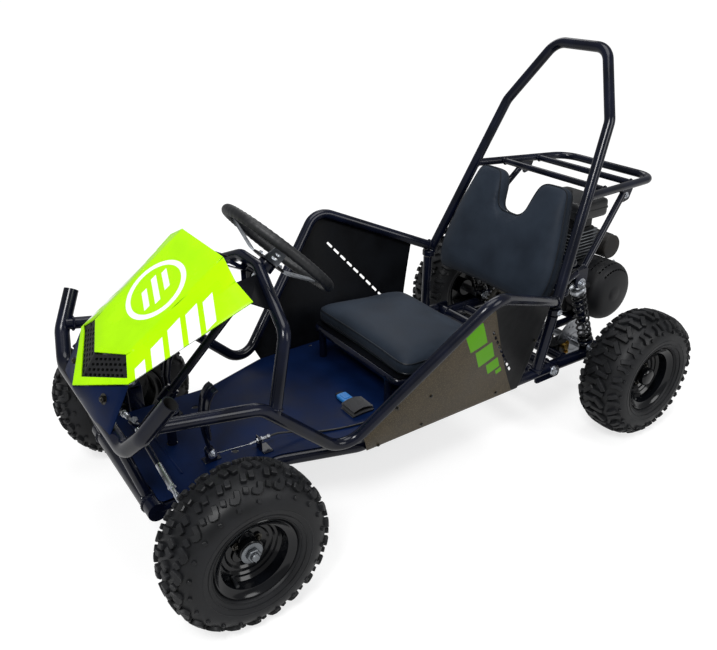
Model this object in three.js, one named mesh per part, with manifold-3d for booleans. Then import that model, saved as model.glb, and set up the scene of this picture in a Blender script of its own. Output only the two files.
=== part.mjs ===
// An off road go kart with a tubular frame, one seat, a rear engine on a swing arm and four knobbly tyres.
// Millimetres, +Z up. The kart faces -Y, and the driver's left side is +X.
// Places along Y are first measured from the middle of the wheelbase, and the whole kart is moved at
// the end so that its origin is under the middle of its own box.
import * as THREE from "three";
import { mergeVertices } from "three/addons/utils/BufferGeometryUtils.js";
import Module from "manifold-3d";

const wasm = await Module();
wasm.setup();

// Driving dimensions
const wheelbase = 1200;
const frontTrack = 711;
const rearTrack = 731;
const tyreDiameter = 355;
const tyreWidth = 140;
const seatGap = 0.3; // between two pieces that touch
const overrun = 4; // how far a cutter reaches past what it cuts

// Rims
const flangeDiameter = 184;
const rimBarrelDiameter = 154;
const rimWidth = 112;
const rimWall = 3.5;
const rimFlange = 5;
const discOffset = 6; // from the wheel's middle plane to the disc that joins barrel and hub
const discThickness = 6;
const hubDiameter = 54;
const hubInner = 34; // from the wheel's middle plane, towards the kart
const hubOuter = 30; // from the wheel's middle plane, away from the kart
const runningGap = 0.9; // on the radius, between a shaft and the bore that it turns in

// Frame tubes
const frameTube = 28;
const hoopTube = 28;
const bumperTube = 34;
const rackTube = 22;
const axleBeam = 34; // front axle beam
const frameBend = 60; // bend radius of the frame tubes
const frameHeight = 195; // middle of the lower tubes above the ground
const frameHalfWidth = 237; // middle of the lower tubes beside the seat
const noseHalfWidth = 172; // middle of the lower tubes at the nose
const noseReach = 711; // nose cross tube ahead of the middle of the wheelbase
const noseHeight = 190;
const noseBeam = 42; // nose cross tube
const neckReach = 420; // where the lower tubes start to spread
const neckHalfWidth = 179;
const waistReach = 244; // where they run straight again
const frameRear = 386; // rear end of the lower tubes
const rearCross = 341; // rear cross tube
const seatCrossFront = -95;
const seatCrossRear = 222;

// Side rails and roll hoop
const railHalfWidth = 374;
const railHeight = 551;
const railFrontShares = [0.7, -0.603, 0.811];
const railKneeShares = [0.7, -0.415, 0.735];
const railDipShares = [0.66, -0.243, 0.377];
const railCrownShares = [1, 0.024, 1];
const hoopFootHalf = 255;
const hoopFootReach = 362;
const hoopFootHeight = 377;
const hoopShoulderHalf = 183;
const hoopShoulderReach = 574;
const hoopShoulderHeight = 833;
const hoopCrownHalf = 87;
const hoopCrownReach = 649;
const hoopCrownHeight = 995;
const hoopBend = 55;
const railEndShare = 0.057; // of the leg's length above its foot, where the side rail meets it
const collarDiameter = 40;
const collarHeight = 16;
const uprightReach = 341; // foot of the upright that carries the hoop

// Bumper
const bumperReach = 760;
const bumperHeight = 376;
const bumperCornerHalf = 203;
const hornKneeHalf = 264;
const hornKneeReach = 739;
const hornKneeHeight = 434;
const hornTipHalf = 304;
const hornTipReach = 693;
const hornTipHeight = 511;
const bumperStayHalf = 140;
const bumperStayTube = 22;

// Rear rack
const rackRearHalf = 165;
const rackFrontHeight = 655;
const rackRearReach = 833;
const rackRearHeight = 640;
const rackBarTube = 18;
const rackBarShares = [0.29, 0.67]; // of the way from the hoop to the rear tube
const rackStrutShare = 0.57;

// Steering
const wheelRingRadius = 142;
const wheelRingTube = 25;
const wheelCentreReach = -299;
const wheelCentreHeight = 622;
const columnAngle = 43.5; // degrees below the horizon
const columnDiameter = 20;
const pitmanRise = 80; // lower end of the column above the front axle beam
const ringDish = 36; // hub plate below the ring
const hubPlateDiameter = 84;
const hubPlateThickness = 8;
const spokeWidth = 38;
const spokeThickness = 4;
const spokeTurns = [90, 210, 330]; // degrees round the ring
const pitmanLength = 30;
const pitmanWidth = 18;
const pitmanThickness = 8;
const sleeveDiameter = 34;
const sleeveLength = 34;
const upperSleevePlace = 98; // along the column, from the middle of the ring
const lowerSleevePlace = 415; // straight above the front axle beam
const steerHoopTube = 28;
const steerHoopFootShare = 0.15; // of the way from the rail's knee to its dip
const steerHoopKneeHalf = 220;
const steerHoopKneeReach = -411;
const steerHoopKneeHeight = 533;
const steerHoopTopHalf = 42;
const steerHoopTopReach = -373;
const steerHoopTopHeight = 611;
const steerHoopBend = 45;

// Kingpins, knuckles and tie rods
const kingpinInset = 82.5; // from the middle of the front tyre to the kingpin
const kingpinDiameter = 16;
const barrelDiameter = 30;
const barrelHeight = 112;
const yokePlate = 7;
const yokeWidth = 38;
const yokeReach = 30; // back of the yoke from the kingpin
const stubDiameter = 19;
const wheelNutDiameter = 30;
const wheelNutHeight = 11;
const steerArmReach = 80; // from the kingpin forward to the ball joint
const steerArmInset = 9; // and inward
const steerArmWidth = 20;
const steerArmThickness = 8;
const steerArmDrop = 2; // below the top of the barrel
const tieRodDiameter = 13;
const tieEyeDiameter = 22;
const tieEyeHeight = 16;
const tieRodInnerHalf = 22;

// Seat
const cushionHalfWidth = 213;
const cushionFront = -93;
const cushionRear = 218;
const cushionHeight = 50;
const cushionBase = 277;
const cushionFrontRise = 24;
const seatPanThickness = 2.5;
const seatFrameTube = 20;
const seatFrameHalf = 188;
const backFoot = 340; // front of the backrest at its lower edge
const backFootHeight = 366;
const backLean = 21.7; // degrees from upright
const backLength = 340;
const backHalfWidth = 222;
const backThickness = 45;
const backBoardThickness = 9;
const backBoardShare = 0.8; // of the backrest's half width
const backBarTube = 20;
const backBarShares = [0.3, 0.7];

// Body panels
const panelThickness = 2.5;
const panelDrop = 8; // bottom edge of a side panel below the middle of the lower tube
const panelSlots = 7;
const slotLength = 24;
const slotWidth = 8;
const floorThickness = 2;
const floorRear = -62;
const floorFront = -690;
const hoodThickness = 3;
const hoodHalfWidth = 213.5;
const hoodRear = -480;
const hoodNose = -791;
const hoodHeight = 677;
const hoodNoseRise = 57; // nose edge of the hood above the middle of the bumper's cross tube
const ventThickness = 3;
const ventGap = 1; // below the hood

// Pedals
const pedalHalf = 108; // from the middle of the kart
const pedalPivotReach = -553;
const pedalPivotRise = 20; // above the floor
const pedalHeight = 165;
const pedalWidth = 46;
const pedalThickness = 7;
const pedalArmWidth = 12;
const pedalPin = 10;

// Swing arm, rear axle and shocks
const swingHalfWidth = 218;
const swingPivotReach = 412;
const swingPivotHeight = 182;
const swingTube = 32;
const swingPivotTube = 36;
const pivotPlate = 6;
const pivotBolt = 14;
const axleDiameter = 25;
const bearingDiameter = 58;
const bearingWidth = 30;
const swingCross = 486;
const engineRailHalf = 92;
const engineRailRise = 37; // above the rear axle
const enginePlateThickness = 6;
const engineRailRear = 776;
const shockTopReach = 484;
const shockTopHeight = 424;
const shockFootReach = 566;
const shockFootHeight = 206;
const shockBodyDiameter = 24;
const shockRodDiameter = 10;
const springDiameter = 42;
const springWire = 6.5;
const springCurls = 7;
const curlSteps = 8; // points on each curl
const shockCapDiameter = 44;
const shockCapHeight = 16;
const shockEye = 22;
const shockBolt = 10;
const capHeight = 42;

// Engine and drive
const crankReach = 704;
const crankHeight = 318;
const caseHalfWidth = 78;
const caseLength = 150;
const fanDiameter = 176;
const fanDepth = 34;
const starterDiameter = 178;
const starterDepth = 76;
const cylinderWidth = 104;
const cylinderHeight = 104;
const finCount = 5;
const finThickness = 4;
const finOverhang = 10;
const tankLength = 132;
const tankWidth = 168;
const tankHeight = 52;
const tankBottom = 520;
const drivePlane = -150; // X of the chain
const axleSprocketDiameter = 164;
const clutchSprocketDiameter = 44;
const sprocketThickness = 5;
const clutchDiameter = 92;
const clutchDepth = 30;
const chainHeight = 10;
const chainWidth = 9;
const discPlane = 146;
const discDiameter = 150;
const discRotorThickness = 4;
const mufflerDiameter = 74;
const mufflerLength = 170;

// Lap belt on the floor in front of the seat
const beltHalf = 96; // inner edge of the folded strap, from the middle of the kart
const beltReach = -172;
const beltWidth = 62;
const beltLength = 74;
const beltHeight = 18;
const buckleWidth = 42;
const buckleLength = 30;
const buckleHeight = 12;

const degree = Math.PI / 180;
const axleHeight = tyreDiameter / 2;
const frontAxle = -wheelbase / 2;
const rearAxle = wheelbase / 2;
const hoodNoseHeight = bumperHeight + hoodNoseRise;
const columnLength =
  (wheelCentreHeight - axleHeight - axleBeam / 2 - pitmanRise) / Math.sin(columnAngle * degree);
const V = (x, y, z) => new THREE.Vector3(x, y, z);
const mirrored = (p) => V(-p.x, p.y, p.z);
const between = (a, b, share) => new THREE.Vector3().lerpVectors(a, b, share);

// Finishes
const finish = (color, roughness, metalness) =>
  new THREE.MeshStandardMaterial({ color, roughness, metalness });
const finishes = {
  blackPaint: finish(0x0a0d14, 0.25, 0.3),
  navyPaint: finish(0x0e1b38, 0.35, 0.2),
  hoodPlastic: finish(0xb9f500, 0.35, 0),
  blackPlastic: finish(0x17181a, 0.55, 0),
  panelPaint: finish(0x4a4335, 0.4, 0.4),
  tyreRubber: finish(0x1b1c1e, 0.85, 0),
  seatVinyl: finish(0x2a2f39, 0.6, 0),
  zinc: finish(0xb8b6ae, 0.35, 0.9),
  steel: finish(0x8c8f93, 0.4, 0.9),
  castMetal: finish(0x55585c, 0.6, 0.8),
  springSteel: finish(0x101114, 0.3, 0.5),
  blueBuckle: finish(0x1f6fb8, 0.4, 0),
  webbing: finish(0x15161a, 0.8, 0),
};

// Solids: a geometry as a manifold, and back
function solidOf(geometry) {
  const bare = (geometry.index ? geometry.toNonIndexed() : geometry.clone());
  const places = new THREE.BufferGeometry().setAttribute("position", bare.getAttribute("position"));
  const merged = mergeVertices(places, 1e-3);
  const corner = merged.getAttribute("position");
  const kept = [];
  let volume = 0;
  const a = new THREE.Vector3();
  const b = new THREE.Vector3();
  const c = new THREE.Vector3();
  for (let i = 0; i < merged.index.count; i += 3) {
    const [p, q, r] = [0, 1, 2].map((k) => merged.index.getX(i + k));
    if (p === q || q === r || r === p) continue;
    a.fromBufferAttribute(corner, p);
    b.fromBufferAttribute(corner, q);
    c.fromBufferAttribute(corner, r);
    volume += a.dot(b.cross(c));
    kept.push([p, q, r]);
  }
  const turned = volume < 0 ? kept.map(([p, q, r]) => [p, r, q]) : kept;
  return new wasm.Manifold(
    new wasm.Mesh({
      numProp: 3,
      vertProperties: new Float32Array(corner.array),
      triVerts: new Uint32Array(turned.flat()),
    }),
  );
}

function geometryOf(solid) {
  const mesh = solid.getMesh();
  const places = new Float32Array(mesh.numVert * 3);
  for (let i = 0; i < mesh.numVert; i++) {
    places.set(mesh.vertProperties.subarray(i * mesh.numProp, i * mesh.numProp + 3), i * 3);
  }
  const geometry = new THREE.BufferGeometry();
  geometry.setAttribute("position", new THREE.BufferAttribute(places, 3));
  geometry.setIndex(new THREE.BufferAttribute(new Uint32Array(mesh.triVerts), 1));
  geometry.computeVertexNormals();
  return geometry;
}

const asSolid = (piece) => (piece.isBufferGeometry ? solidOf(piece) : piece);
const join = (...pieces) => pieces.flat().map(asSolid).reduce((sum, next) => sum.add(next));
const cut = (piece, ...tools) =>
  tools.flat().map(asSolid).reduce((rest, tool) => rest.subtract(tool), asSolid(piece));

const largest = (solid) =>
  solid.decompose().reduce((best, next) => (next.volume() > best.volume() ? next : best));

// A path that is sampled at its own points, so that straight runs need no steps
class BentPath extends THREE.Curve {
  constructor(points) {
    super();
    this.points = points;
  }
  getPoint(t, target = new THREE.Vector3()) {
    const place = THREE.MathUtils.clamp(t, 0, 1) * (this.points.length - 1);
    const i = Math.min(Math.floor(place), this.points.length - 2);
    return target.lerpVectors(this.points[i], this.points[i + 1], place - i);
  }
  getPointAt(u, target) {
    return this.getPoint(u, target);
  }
  getTangentAt(u, target) {
    return this.getTangent(u, target);
  }
}

// Corner points with each inner corner rounded to a bend radius
function rounded(corners, bend, steps = 2) {
  const points = [corners[0]];
  for (let i = 1; i < corners.length - 1; i++) {
    const into = corners[i].clone().sub(corners[i - 1]);
    const away = corners[i + 1].clone().sub(corners[i]);
    const turn = into.angleTo(away);
    const room = Math.min(into.length(), away.length()) / 2;
    const reach = Math.min(bend * Math.tan(turn / 2), room);
    const start = corners[i].clone().addScaledVector(into.normalize(), -reach);
    const end = corners[i].clone().addScaledVector(away.normalize(), reach);
    const arc = new THREE.QuadraticBezierCurve3(start, corners[i], end);
    for (let k = 0; k <= steps; k++) points.push(arc.getPoint(k / steps));
  }
  points.push(corners[corners.length - 1]);
  return points;
}

function polygon(diameter, sides) {
  const points = [];
  for (let i = 0; i < sides; i++) {
    const angle = ((i + 0.5) / sides) * 2 * Math.PI;
    points.push(new THREE.Vector2(Math.cos(angle), Math.sin(angle)).multiplyScalar(diameter / 2));
  }
  return new THREE.Shape(points);
}

function tube(points, diameter, sides = 8) {
  return new THREE.ExtrudeGeometry(polygon(diameter, sides), {
    steps: points.length - 1,
    extrudePath: new BentPath(points),
    bevelEnabled: false,
  });
}

const bentTube = (corners, diameter, bend = frameBend, sides = 8) =>
  tube(rounded(corners, bend), diameter, sides);
const grown = (diameter) => diameter + 2 * seatGap;

function box(x0, x1, y0, y1, z0, z1) {
  return new THREE.BoxGeometry(Math.abs(x1 - x0), Math.abs(y1 - y0), Math.abs(z1 - z0)).translate(
    (x0 + x1) / 2,
    (y0 + y1) / 2,
    (z0 + z1) / 2,
  );
}

// A flat outline given by its corners in space, thickened by a vector
function slab(corners, thickness) {
  const near = corners;
  const far = corners.map((p) => p.clone().add(thickness));
  const normal = thickness.clone().normalize();
  const across = corners[1].clone().sub(corners[0]).normalize();
  const along = normal.clone().cross(across);
  const flat = corners.map((p) => new THREE.Vector2(p.dot(across), p.dot(along)));
  const triangles = THREE.ShapeUtils.triangulateShape(flat, []);
  const places = [];
  const add = (...points) => points.forEach((p) => places.push(p.x, p.y, p.z));
  const turned = THREE.ShapeUtils.area(flat) < 0;
  triangles.forEach(([i, j, k]) => {
    if (turned) [j, k] = [k, j];
    add(near[i], near[k], near[j]);
    add(far[i], far[j], far[k]);
  });
  near.forEach((p, i) => {
    const n = (i + 1) % near.length;
    add(p, near[n], far[n]);
    add(p, far[n], far[i]);
  });
  return new THREE.BufferGeometry().setAttribute(
    "position",
    new THREE.Float32BufferAttribute(places, 3),
  );
}

// A folded sheet: faces over shared corners, and the same faces lower by a vector
function sheet(corners, faces, drop) {
  const lower = corners.map((p) => p.clone().add(drop));
  const places = [];
  const add = (...points) => points.forEach((p) => places.push(p.x, p.y, p.z));
  const edges = new Map();
  faces.forEach((face) => {
    for (let i = 1; i < face.length - 1; i++) {
      add(corners[face[0]], corners[face[i]], corners[face[i + 1]]);
      add(lower[face[0]], lower[face[i + 1]], lower[face[i]]);
    }
    face.forEach((from, i) => {
      const to = face[(i + 1) % face.length];
      if (edges.has(to + " " + from)) edges.delete(to + " " + from);
      else edges.set(from + " " + to, [from, to]);
    });
  });
  edges.forEach(([from, to]) => {
    add(corners[from], lower[from], lower[to]);
    add(corners[from], lower[to], corners[to]);
  });
  return new THREE.BufferGeometry().setAttribute(
    "position",
    new THREE.Float32BufferAttribute(places, 3),
  );
}

// A profile of [radius, place along X] turned round the X axis
function turned(profile, sides) {
  const points = profile.map(([r, x]) => new THREE.Vector2(r, x));
  return new THREE.LatheGeometry(points, sides).rotateZ(-Math.PI / 2);
}

const disc = (diameter, x0, x1, y, z, sides = 16) =>
  tube([V(x0, y, z), V(x1, y, z)], diameter, sides);
const post = (diameter, x, y, z0, z1, sides = 12) =>
  tube([V(x, y, z0), V(x, y, z1)], diameter, sides);

// A pad: rings inset from an outline at set heights, then drawn in toward the middle, and closed
// by flat caps. Each ring is [inset, height, scale], from the lower face to the upper one.
function pad(outline, rings, toSpace) {
  const count = outline.length;
  const inward = outline.map((p, i) => {
    const before = outline[(i + count - 1) % count];
    const after = outline[(i + 1) % count];
    const a = p.clone().sub(before).normalize();
    const b = after.clone().sub(p).normalize();
    const normal = new THREE.Vector2(-(a.y + b.y), a.x + b.x).normalize();
    const lean = Math.max(0.5, normal.dot(new THREE.Vector2(-a.y, a.x)));
    return normal.divideScalar(lean);
  });
  const middle = outline.reduce((sum, p) => sum.add(p), new THREE.Vector2()).divideScalar(count);
  const layers = rings.map(([inset, height, scale]) =>
    outline.map((p, i) =>
      toSpace(
        p.clone().addScaledVector(inward[i], inset).sub(middle).multiplyScalar(scale).add(middle),
        height,
      ),
    ),
  );
  const places = [];
  const add = (...points) => points.forEach((p) => places.push(p.x, p.y, p.z));
  layers.slice(1).forEach((upper, k) => {
    const lower = layers[k];
    upper.forEach((p, i) => {
      const n = (i + 1) % count;
      add(lower[i], lower[n], upper[n]);
      add(lower[i], upper[n], p);
    });
  });
  const last = layers.length - 1;
  THREE.ShapeUtils.triangulateShape(outline, []).forEach(([i, j, k]) => {
    add(layers[0][i], layers[0][k], layers[0][j]);
    add(layers[last][i], layers[last][j], layers[last][k]);
  });
  return new THREE.BufferGeometry().setAttribute(
    "position",
    new THREE.Float32BufferAttribute(places, 3),
  );
}

// An outline with rounded corners, in the order in which its corners are given
function roundedOutline(corners, radius, steps = 3) {
  const points = [];
  corners.forEach((corner, i) => {
    const before = corners[(i + corners.length - 1) % corners.length];
    const after = corners[(i + 1) % corners.length];
    const into = corner.clone().sub(before);
    const away = after.clone().sub(corner);
    const reach = Math.min(radius, into.length() / 2.2, away.length() / 2.2);
    const start = corner.clone().addScaledVector(into.normalize(), -reach);
    const end = corner.clone().addScaledVector(away.normalize(), reach);
    const arc = new THREE.QuadraticBezierCurve(start, corner, end);
    for (let k = 0; k <= steps; k++) points.push(arc.getPoint(k / steps));
  });
  return points;
}

const kart = new THREE.Group();
function place(name, piece, material, group = kart) {
  const mesh = new THREE.Mesh(geometryOf(asSolid(piece)), material);
  mesh.name = name;
  group.add(mesh);
  return mesh;
}

// Places that several pieces share
const hoopFoot = V(hoopFootHalf, hoopFootReach, hoopFootHeight);
const hoopShoulder = V(hoopShoulderHalf, hoopShoulderReach, hoopShoulderHeight);
const hoopCrown = V(hoopCrownHalf, hoopCrownReach, hoopCrownHeight);
const legAt = (height) =>
  between(hoopFoot, hoopShoulder, (height - hoopFoot.z) / (hoopShoulder.z - hoopFoot.z));
const railPoint = ([x, y, z]) => V(x * railHalfWidth, y * wheelbase, z * railHeight);
const railCorners = [
  ...[railFrontShares, railKneeShares, railDipShares, railCrownShares].map(railPoint),
  between(hoopFoot, hoopShoulder, railEndShare),
];
const bumperCorners = [
  V(hornTipHalf, -hornTipReach, hornTipHeight),
  V(hornKneeHalf, -hornKneeReach, hornKneeHeight),
  V(bumperCornerHalf, -bumperReach, bumperHeight),
];
bumperCorners.push(...[...bumperCorners].reverse().map(mirrored));
const hoopCorners = [hoopFoot, hoopShoulder, hoopCrown, ...[hoopCrown, hoopShoulder, hoopFoot].map(mirrored)];
const columnDown = V(0, -Math.cos(columnAngle * degree), -Math.sin(columnAngle * degree));
const ringMiddle = V(0, wheelCentreReach, wheelCentreHeight);
const columnAt = (length) => ringMiddle.clone().addScaledVector(columnDown, length);
const kingpinHalf = frontTrack / 2 - kingpinInset;
const sided = (side, corners) => corners.map((p) => V(side * p.x, p.y, p.z));
const sides = [
  ["left", 1],
  ["right", -1],
];

const bumperSolid = (diameter) => bentTube(bumperCorners, diameter);
const hoopSolid = (diameter) => bentTube(hoopCorners, diameter, hoopBend);
const railSolid = (side, diameter) => bentTube(sided(side, railCorners), diameter);
const steerHoopFoot = between(railCorners[1], railCorners[2], steerHoopFootShare);
const steerHoopCorners = [
  steerHoopFoot,
  V(steerHoopKneeHalf, steerHoopKneeReach, steerHoopKneeHeight),
  V(steerHoopTopHalf, steerHoopTopReach, steerHoopTopHeight),
];
steerHoopCorners.push(...[...steerHoopCorners].reverse().map(mirrored));
const steerHoopSolid = (diameter) => bentTube(steerHoopCorners, diameter, steerHoopBend, 8);

// Lower frame
const lowerCorners = [
  V(noseHalfWidth, -noseReach, noseHeight),
  V(neckHalfWidth, -neckReach, frameHeight),
  V(frameHalfWidth, -waistReach, frameHeight),
  V(frameHalfWidth, frameRear, frameHeight),
];
const lowerTube = (side, diameter) => bentTube(sided(side, lowerCorners), diameter, frameBend, 8);
const crossTube = (y, z, half, diameter, count = 8) =>
  tube([V(-half, y, z), V(half, y, z)], diameter, count);
const barrelTop = axleHeight + barrelHeight / 2;
const barrelBottom = axleHeight - barrelHeight / 2;

function yoke(side) {
  const x = side * kingpinHalf;
  const back = x - side * yokeReach;
  const front = x + side * (barrelDiameter / 2);
  const [y0, y1] = [frontAxle - yokeWidth / 2, frontAxle + yokeWidth / 2];
  const low = barrelBottom - 2 * seatGap;
  const high = barrelTop + 2 * seatGap;
  return [
    box(front, back, y0, y1, high, high + yokePlate),
    box(front, back, y0, y1, low - yokePlate, low),
    box(back, back + side * yokePlate, y0, y1, low - yokePlate, high + yokePlate),
    post(kingpinDiameter, x, frontAxle, barrelBottom - 2 * yokePlate, barrelTop + 2 * yokePlate),
  ];
}

function pivotPlates(side) {
  const inner = swingHalfWidth + swingTube / 2 + seatGap;
  const reach = swingPivotTube * 0.62;
  return box(
    side * inner,
    side * (inner + pivotPlate),
    rearCross,
    swingPivotReach + reach,
    swingPivotHeight - reach,
    frameHeight + frameTube / 2,
  );
}

const lowerSleeveMiddle = columnAt(lowerSleevePlace);
function sleeve(placeAlong) {
  const from = columnAt(placeAlong - sleeveLength / 2);
  const to = columnAt(placeAlong + sleeveLength / 2);
  return {
    wall: tube([from, to], sleeveDiameter, 12),
    bore: tube(
      [columnAt(placeAlong - sleeveLength), columnAt(placeAlong + sleeveLength)],
      columnDiameter + 2 * runningGap,
      12,
    ),
  };
}

const upright = (side, top) =>
  tube(sided(side, [V(frameHalfWidth, uprightReach, frameHeight), top]), frameTube, 8);
const lowerSleeve = sleeve(lowerSleevePlace);
const mainFrame = cut(
  join(
    sides.flatMap(([, side]) => [
      lowerTube(side, frameTube),
      ...yoke(side),
      pivotPlates(side),
      upright(side, hoopFoot),
      tube(
        sided(side, [
          V(bumperStayHalf, -noseReach, noseHeight),
          V(bumperStayHalf, -bumperReach, bumperHeight),
        ]),
        bumperStayTube,
        8,
      ),
    ]),
    crossTube(-noseReach, noseHeight, noseHalfWidth + frameTube / 2, noseBeam),
    crossTube(frontAxle, axleHeight, kingpinHalf - yokeReach, axleBeam),
    [seatCrossFront, seatCrossRear, rearCross].map((y) =>
      crossTube(y, frameHeight, frameHalfWidth, frameTube),
    ),
    lowerSleeve.wall,
    post(bumperStayTube, 0, lowerSleeveMiddle.y, axleHeight, lowerSleeveMiddle.z, 8),
  ),
  lowerSleeve.bore,
  hoopSolid(grown(hoopTube)),
  sides.map(([, side]) =>
    post(grown(collarDiameter), side * hoopFoot.x, hoopFoot.y, hoopFoot.z - seatGap, hoopFoot.z + frameTube),
  ),
  bumperSolid(grown(bumperTube)),
  crossTube(swingPivotReach, swingPivotHeight, frameHalfWidth + frameTube, pivotBolt + 2 * runningGap),
);
place("main_frame", mainFrame, finishes.blackPaint);

// Bumper, rails and hoops
place("front_bumper", bumperSolid(bumperTube), finishes.blackPaint);
sides.forEach(([word, side]) => {
  const rail = cut(
    railSolid(side, frameTube),
    bumperSolid(grown(bumperTube)),
    hoopSolid(grown(hoopTube)),
    lowerTube(side, grown(frameTube)),
  );
  place("side_rail_" + word, rail, finishes.blackPaint);
});
place(
  "roll_hoop",
  join(
    hoopSolid(hoopTube),
    sides.map(([, side]) =>
      post(collarDiameter, side * hoopFoot.x, hoopFoot.y, hoopFoot.z, hoopFoot.z + collarHeight),
    ),
  ),
  finishes.blackPaint,
);
const upperSleeve = sleeve(upperSleevePlace);
place(
  "steering_hoop",
  cut(
    steerHoopSolid(steerHoopTube),
    sides.map(([, side]) => railSolid(side, grown(frameTube))),
  ),
  finishes.blackPaint,
);

// Rear rack
const rackFront = (side) => {
  const leg = legAt(rackFrontHeight);
  return V(side * leg.x, leg.y, leg.z);
};
const rackRear = (side) => V(side * rackRearHalf, rackRearReach, rackRearHeight);
const rackSide = (side, share) => between(rackFront(side), rackRear(side), share);
const shockTop = (side) => V(side * swingHalfWidth, shockTopReach, shockTopHeight);
const rackLoop = [rackFront(1), rackRear(1), rackRear(-1), rackFront(-1)];
const strutFoot = (side) => {
  const leg = legAt(shockTopHeight + shockEye);
  return V(side * leg.x, leg.y, leg.z);
};
function rackStrut(side) {
  const top = rackSide(side, rackStrutShare);
  const knee = V(side * swingHalfWidth, shockTopReach + shockEye, shockTopHeight + 1.6 * shockEye);
  return bentTube([top, knee, strutFoot(side)], rackBarTube, frameBend / 3);
}
function shockEar(side) {
  const x = side * swingHalfWidth;
  const half = shockEye / 2 + seatGap;
  const ears = [-1, 1].map((end) => {
    return box(
      x + end * half,
      x + end * (half + pivotPlate),
      shockTopReach - shockEye,
      shockTopReach + shockEye,
      shockTopHeight - shockEye * 0.5,
      shockTopHeight + shockEye * 1.9,
    );
  });
  const reach = half + pivotPlate;
  return [...ears, disc(shockBolt, x - reach, x + reach, shockTopReach, shockTopHeight, 12)];
}
const rack = cut(
  join(
    bentTube(rackLoop, rackTube, frameBend),
    rackBarShares.map((share) => tube([rackSide(1, share), rackSide(-1, share)], rackBarTube, 8)),
    sides.flatMap(([, side]) => [rackStrut(side), ...shockEar(side)]),
  ),
  hoopSolid(grown(hoopTube)),
);
place("rear_rack", rack, finishes.blackPaint);

// Front plate, floor and side panels
// Shares of the hood's half width, of its length from the nose to the rear edge, and of its rise
const hoodPoint = ([x, y, z]) =>
  V(
    x * hoodHalfWidth,
    hoodNose + y * (hoodRear - hoodNose),
    hoodNoseHeight + z * (hoodHeight - hoodNoseHeight),
  );
const hoodShares = [
  [0, 0, 0],
  [0.698, 0.228, 0.209],
  [0.457, 0.293, 0.357],
  [0, 0.177, 0.246],
  [0, 0.063, 0.054],
  [0.485, 1, 1],
  [0.773, 0.981, 0.877],
  [1, 1.019, 0.757],
];
const hoodRight = hoodShares.map(([x, y, z]) => [-x, y, z]);
const hoodDrop = hoodThickness * 1.3; // measured straight down, through a sloping sheet
const plateRise = (p) => V(p.x, p.y, p.z - hoodDrop - seatGap);
const plateCorners = [
  plateRise(hoodPoint(hoodShares[0])),
  plateRise(hoodPoint(hoodShares[1])),
  V(bumperStayHalf * 1.1, -bumperReach, bumperHeight),
  V(0, -bumperReach, bumperHeight),
  V(-bumperStayHalf * 1.1, -bumperReach, bumperHeight),
  plateRise(hoodPoint(hoodRight[1])),
];
place(
  "front_plate",
  cut(
    sheet(
      plateCorners,
      [
        [0, 3, 2, 1],
        [0, 5, 4, 3],
      ],
      V(0, panelThickness, 0),
    ),
    bumperSolid(grown(bumperTube)),
  ),
  finishes.navyPaint,
);
const floorHeight = frameHeight + frameTube / 2 + seatGap;
const floorOutline = [
  V(noseHalfWidth, floorFront, floorHeight),
  V(neckHalfWidth, -neckReach, floorHeight),
  V(frameHalfWidth, -waistReach, floorHeight),
  V(frameHalfWidth, floorRear, floorHeight),
];
place(
  "floor_pan",
  cut(
    slab([...floorOutline, ...[...floorOutline].reverse().map(mirrored)], V(0, 0, floorThickness)),
    crossTube(-noseReach, noseHeight, noseHalfWidth * 2, grown(noseBeam)),
    sides.map(([, side]) => railSolid(side, grown(frameTube))),
    post(grown(bumperStayTube), 0, lowerSleeveMiddle.y, floorHeight - overrun, floorHeight + overrun, 8),
  ),
  finishes.navyPaint,
);

// Each side panel is a sheet from the lower tube up to the side rail, with a sloping row of slots.
// Ends of the slot row, as shares of the wheelbase and of the rail's height
const slotRowShares = { y: [0.047, 0.16], z: [0.812, 0.505] };
// Stations along the panel's bottom and top edges, as shares of the wheelbase
const panelStations = [
  [-0.193, -0.213],
  [-0.14, -0.15],
  [-0.08, -0.075],
  [-0.03, -0.025],
  [0.02, 0.024],
  [0.08, 0.09],
  [0.14, 0.165],
  [0.196, 0.225],
  [0.212, 0.262],
];
function railAt(y) {
  const i = railCorners.findIndex((p, k) => k > 0 && y <= p.y);
  const [from, to] = [railCorners[i - 1], railCorners[i]];
  return between(from, to, (y - from.y) / (to.y - from.y));
}
function sidePanel(side) {
  const bottoms = panelStations.map(([y]) =>
    V(frameHalfWidth + frameTube / 2 + seatGap + panelThickness, y * wheelbase, frameHeight - panelDrop),
  );
  const tops = panelStations.map(([, y]) => railAt(y * wheelbase));
  const corners = sided(side, [...bottoms, ...tops]);
  const count = bottoms.length;
  const faces = [];
  for (let i = 0; i < count - 1; i++) {
    const face = [i, i + 1, count + i + 1, count + i];
    faces.push(side > 0 ? face : [...face].reverse());
  }
  const body = sheet(corners, faces, V(-side * panelThickness, 0, 0));
  const { y: slotY, z: slotZ } = slotRowShares;
  const [first, last] = [0, 1].map((i) =>
    V(side * railHalfWidth, slotY[i] * wheelbase, slotZ[i] * railHeight),
  );
  const slope = Math.atan2(last.z - first.z, last.y - first.y);
  const slotTools = [];
  for (let i = 0; i < panelSlots; i++) {
    const middle = between(first, last, i / (panelSlots - 1));
    slotTools.push(
      new THREE.BoxGeometry(railHalfWidth, slotLength, slotWidth)
        .rotateX(slope)
        .translate(middle.x, middle.y, middle.z),
    );
  }
  return largest(cut(body, railSolid(side, grown(frameTube)), slotTools));
}
sides.forEach(([word, side]) => place("side_panel_" + word, sidePanel(side), finishes.panelPaint));

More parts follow.
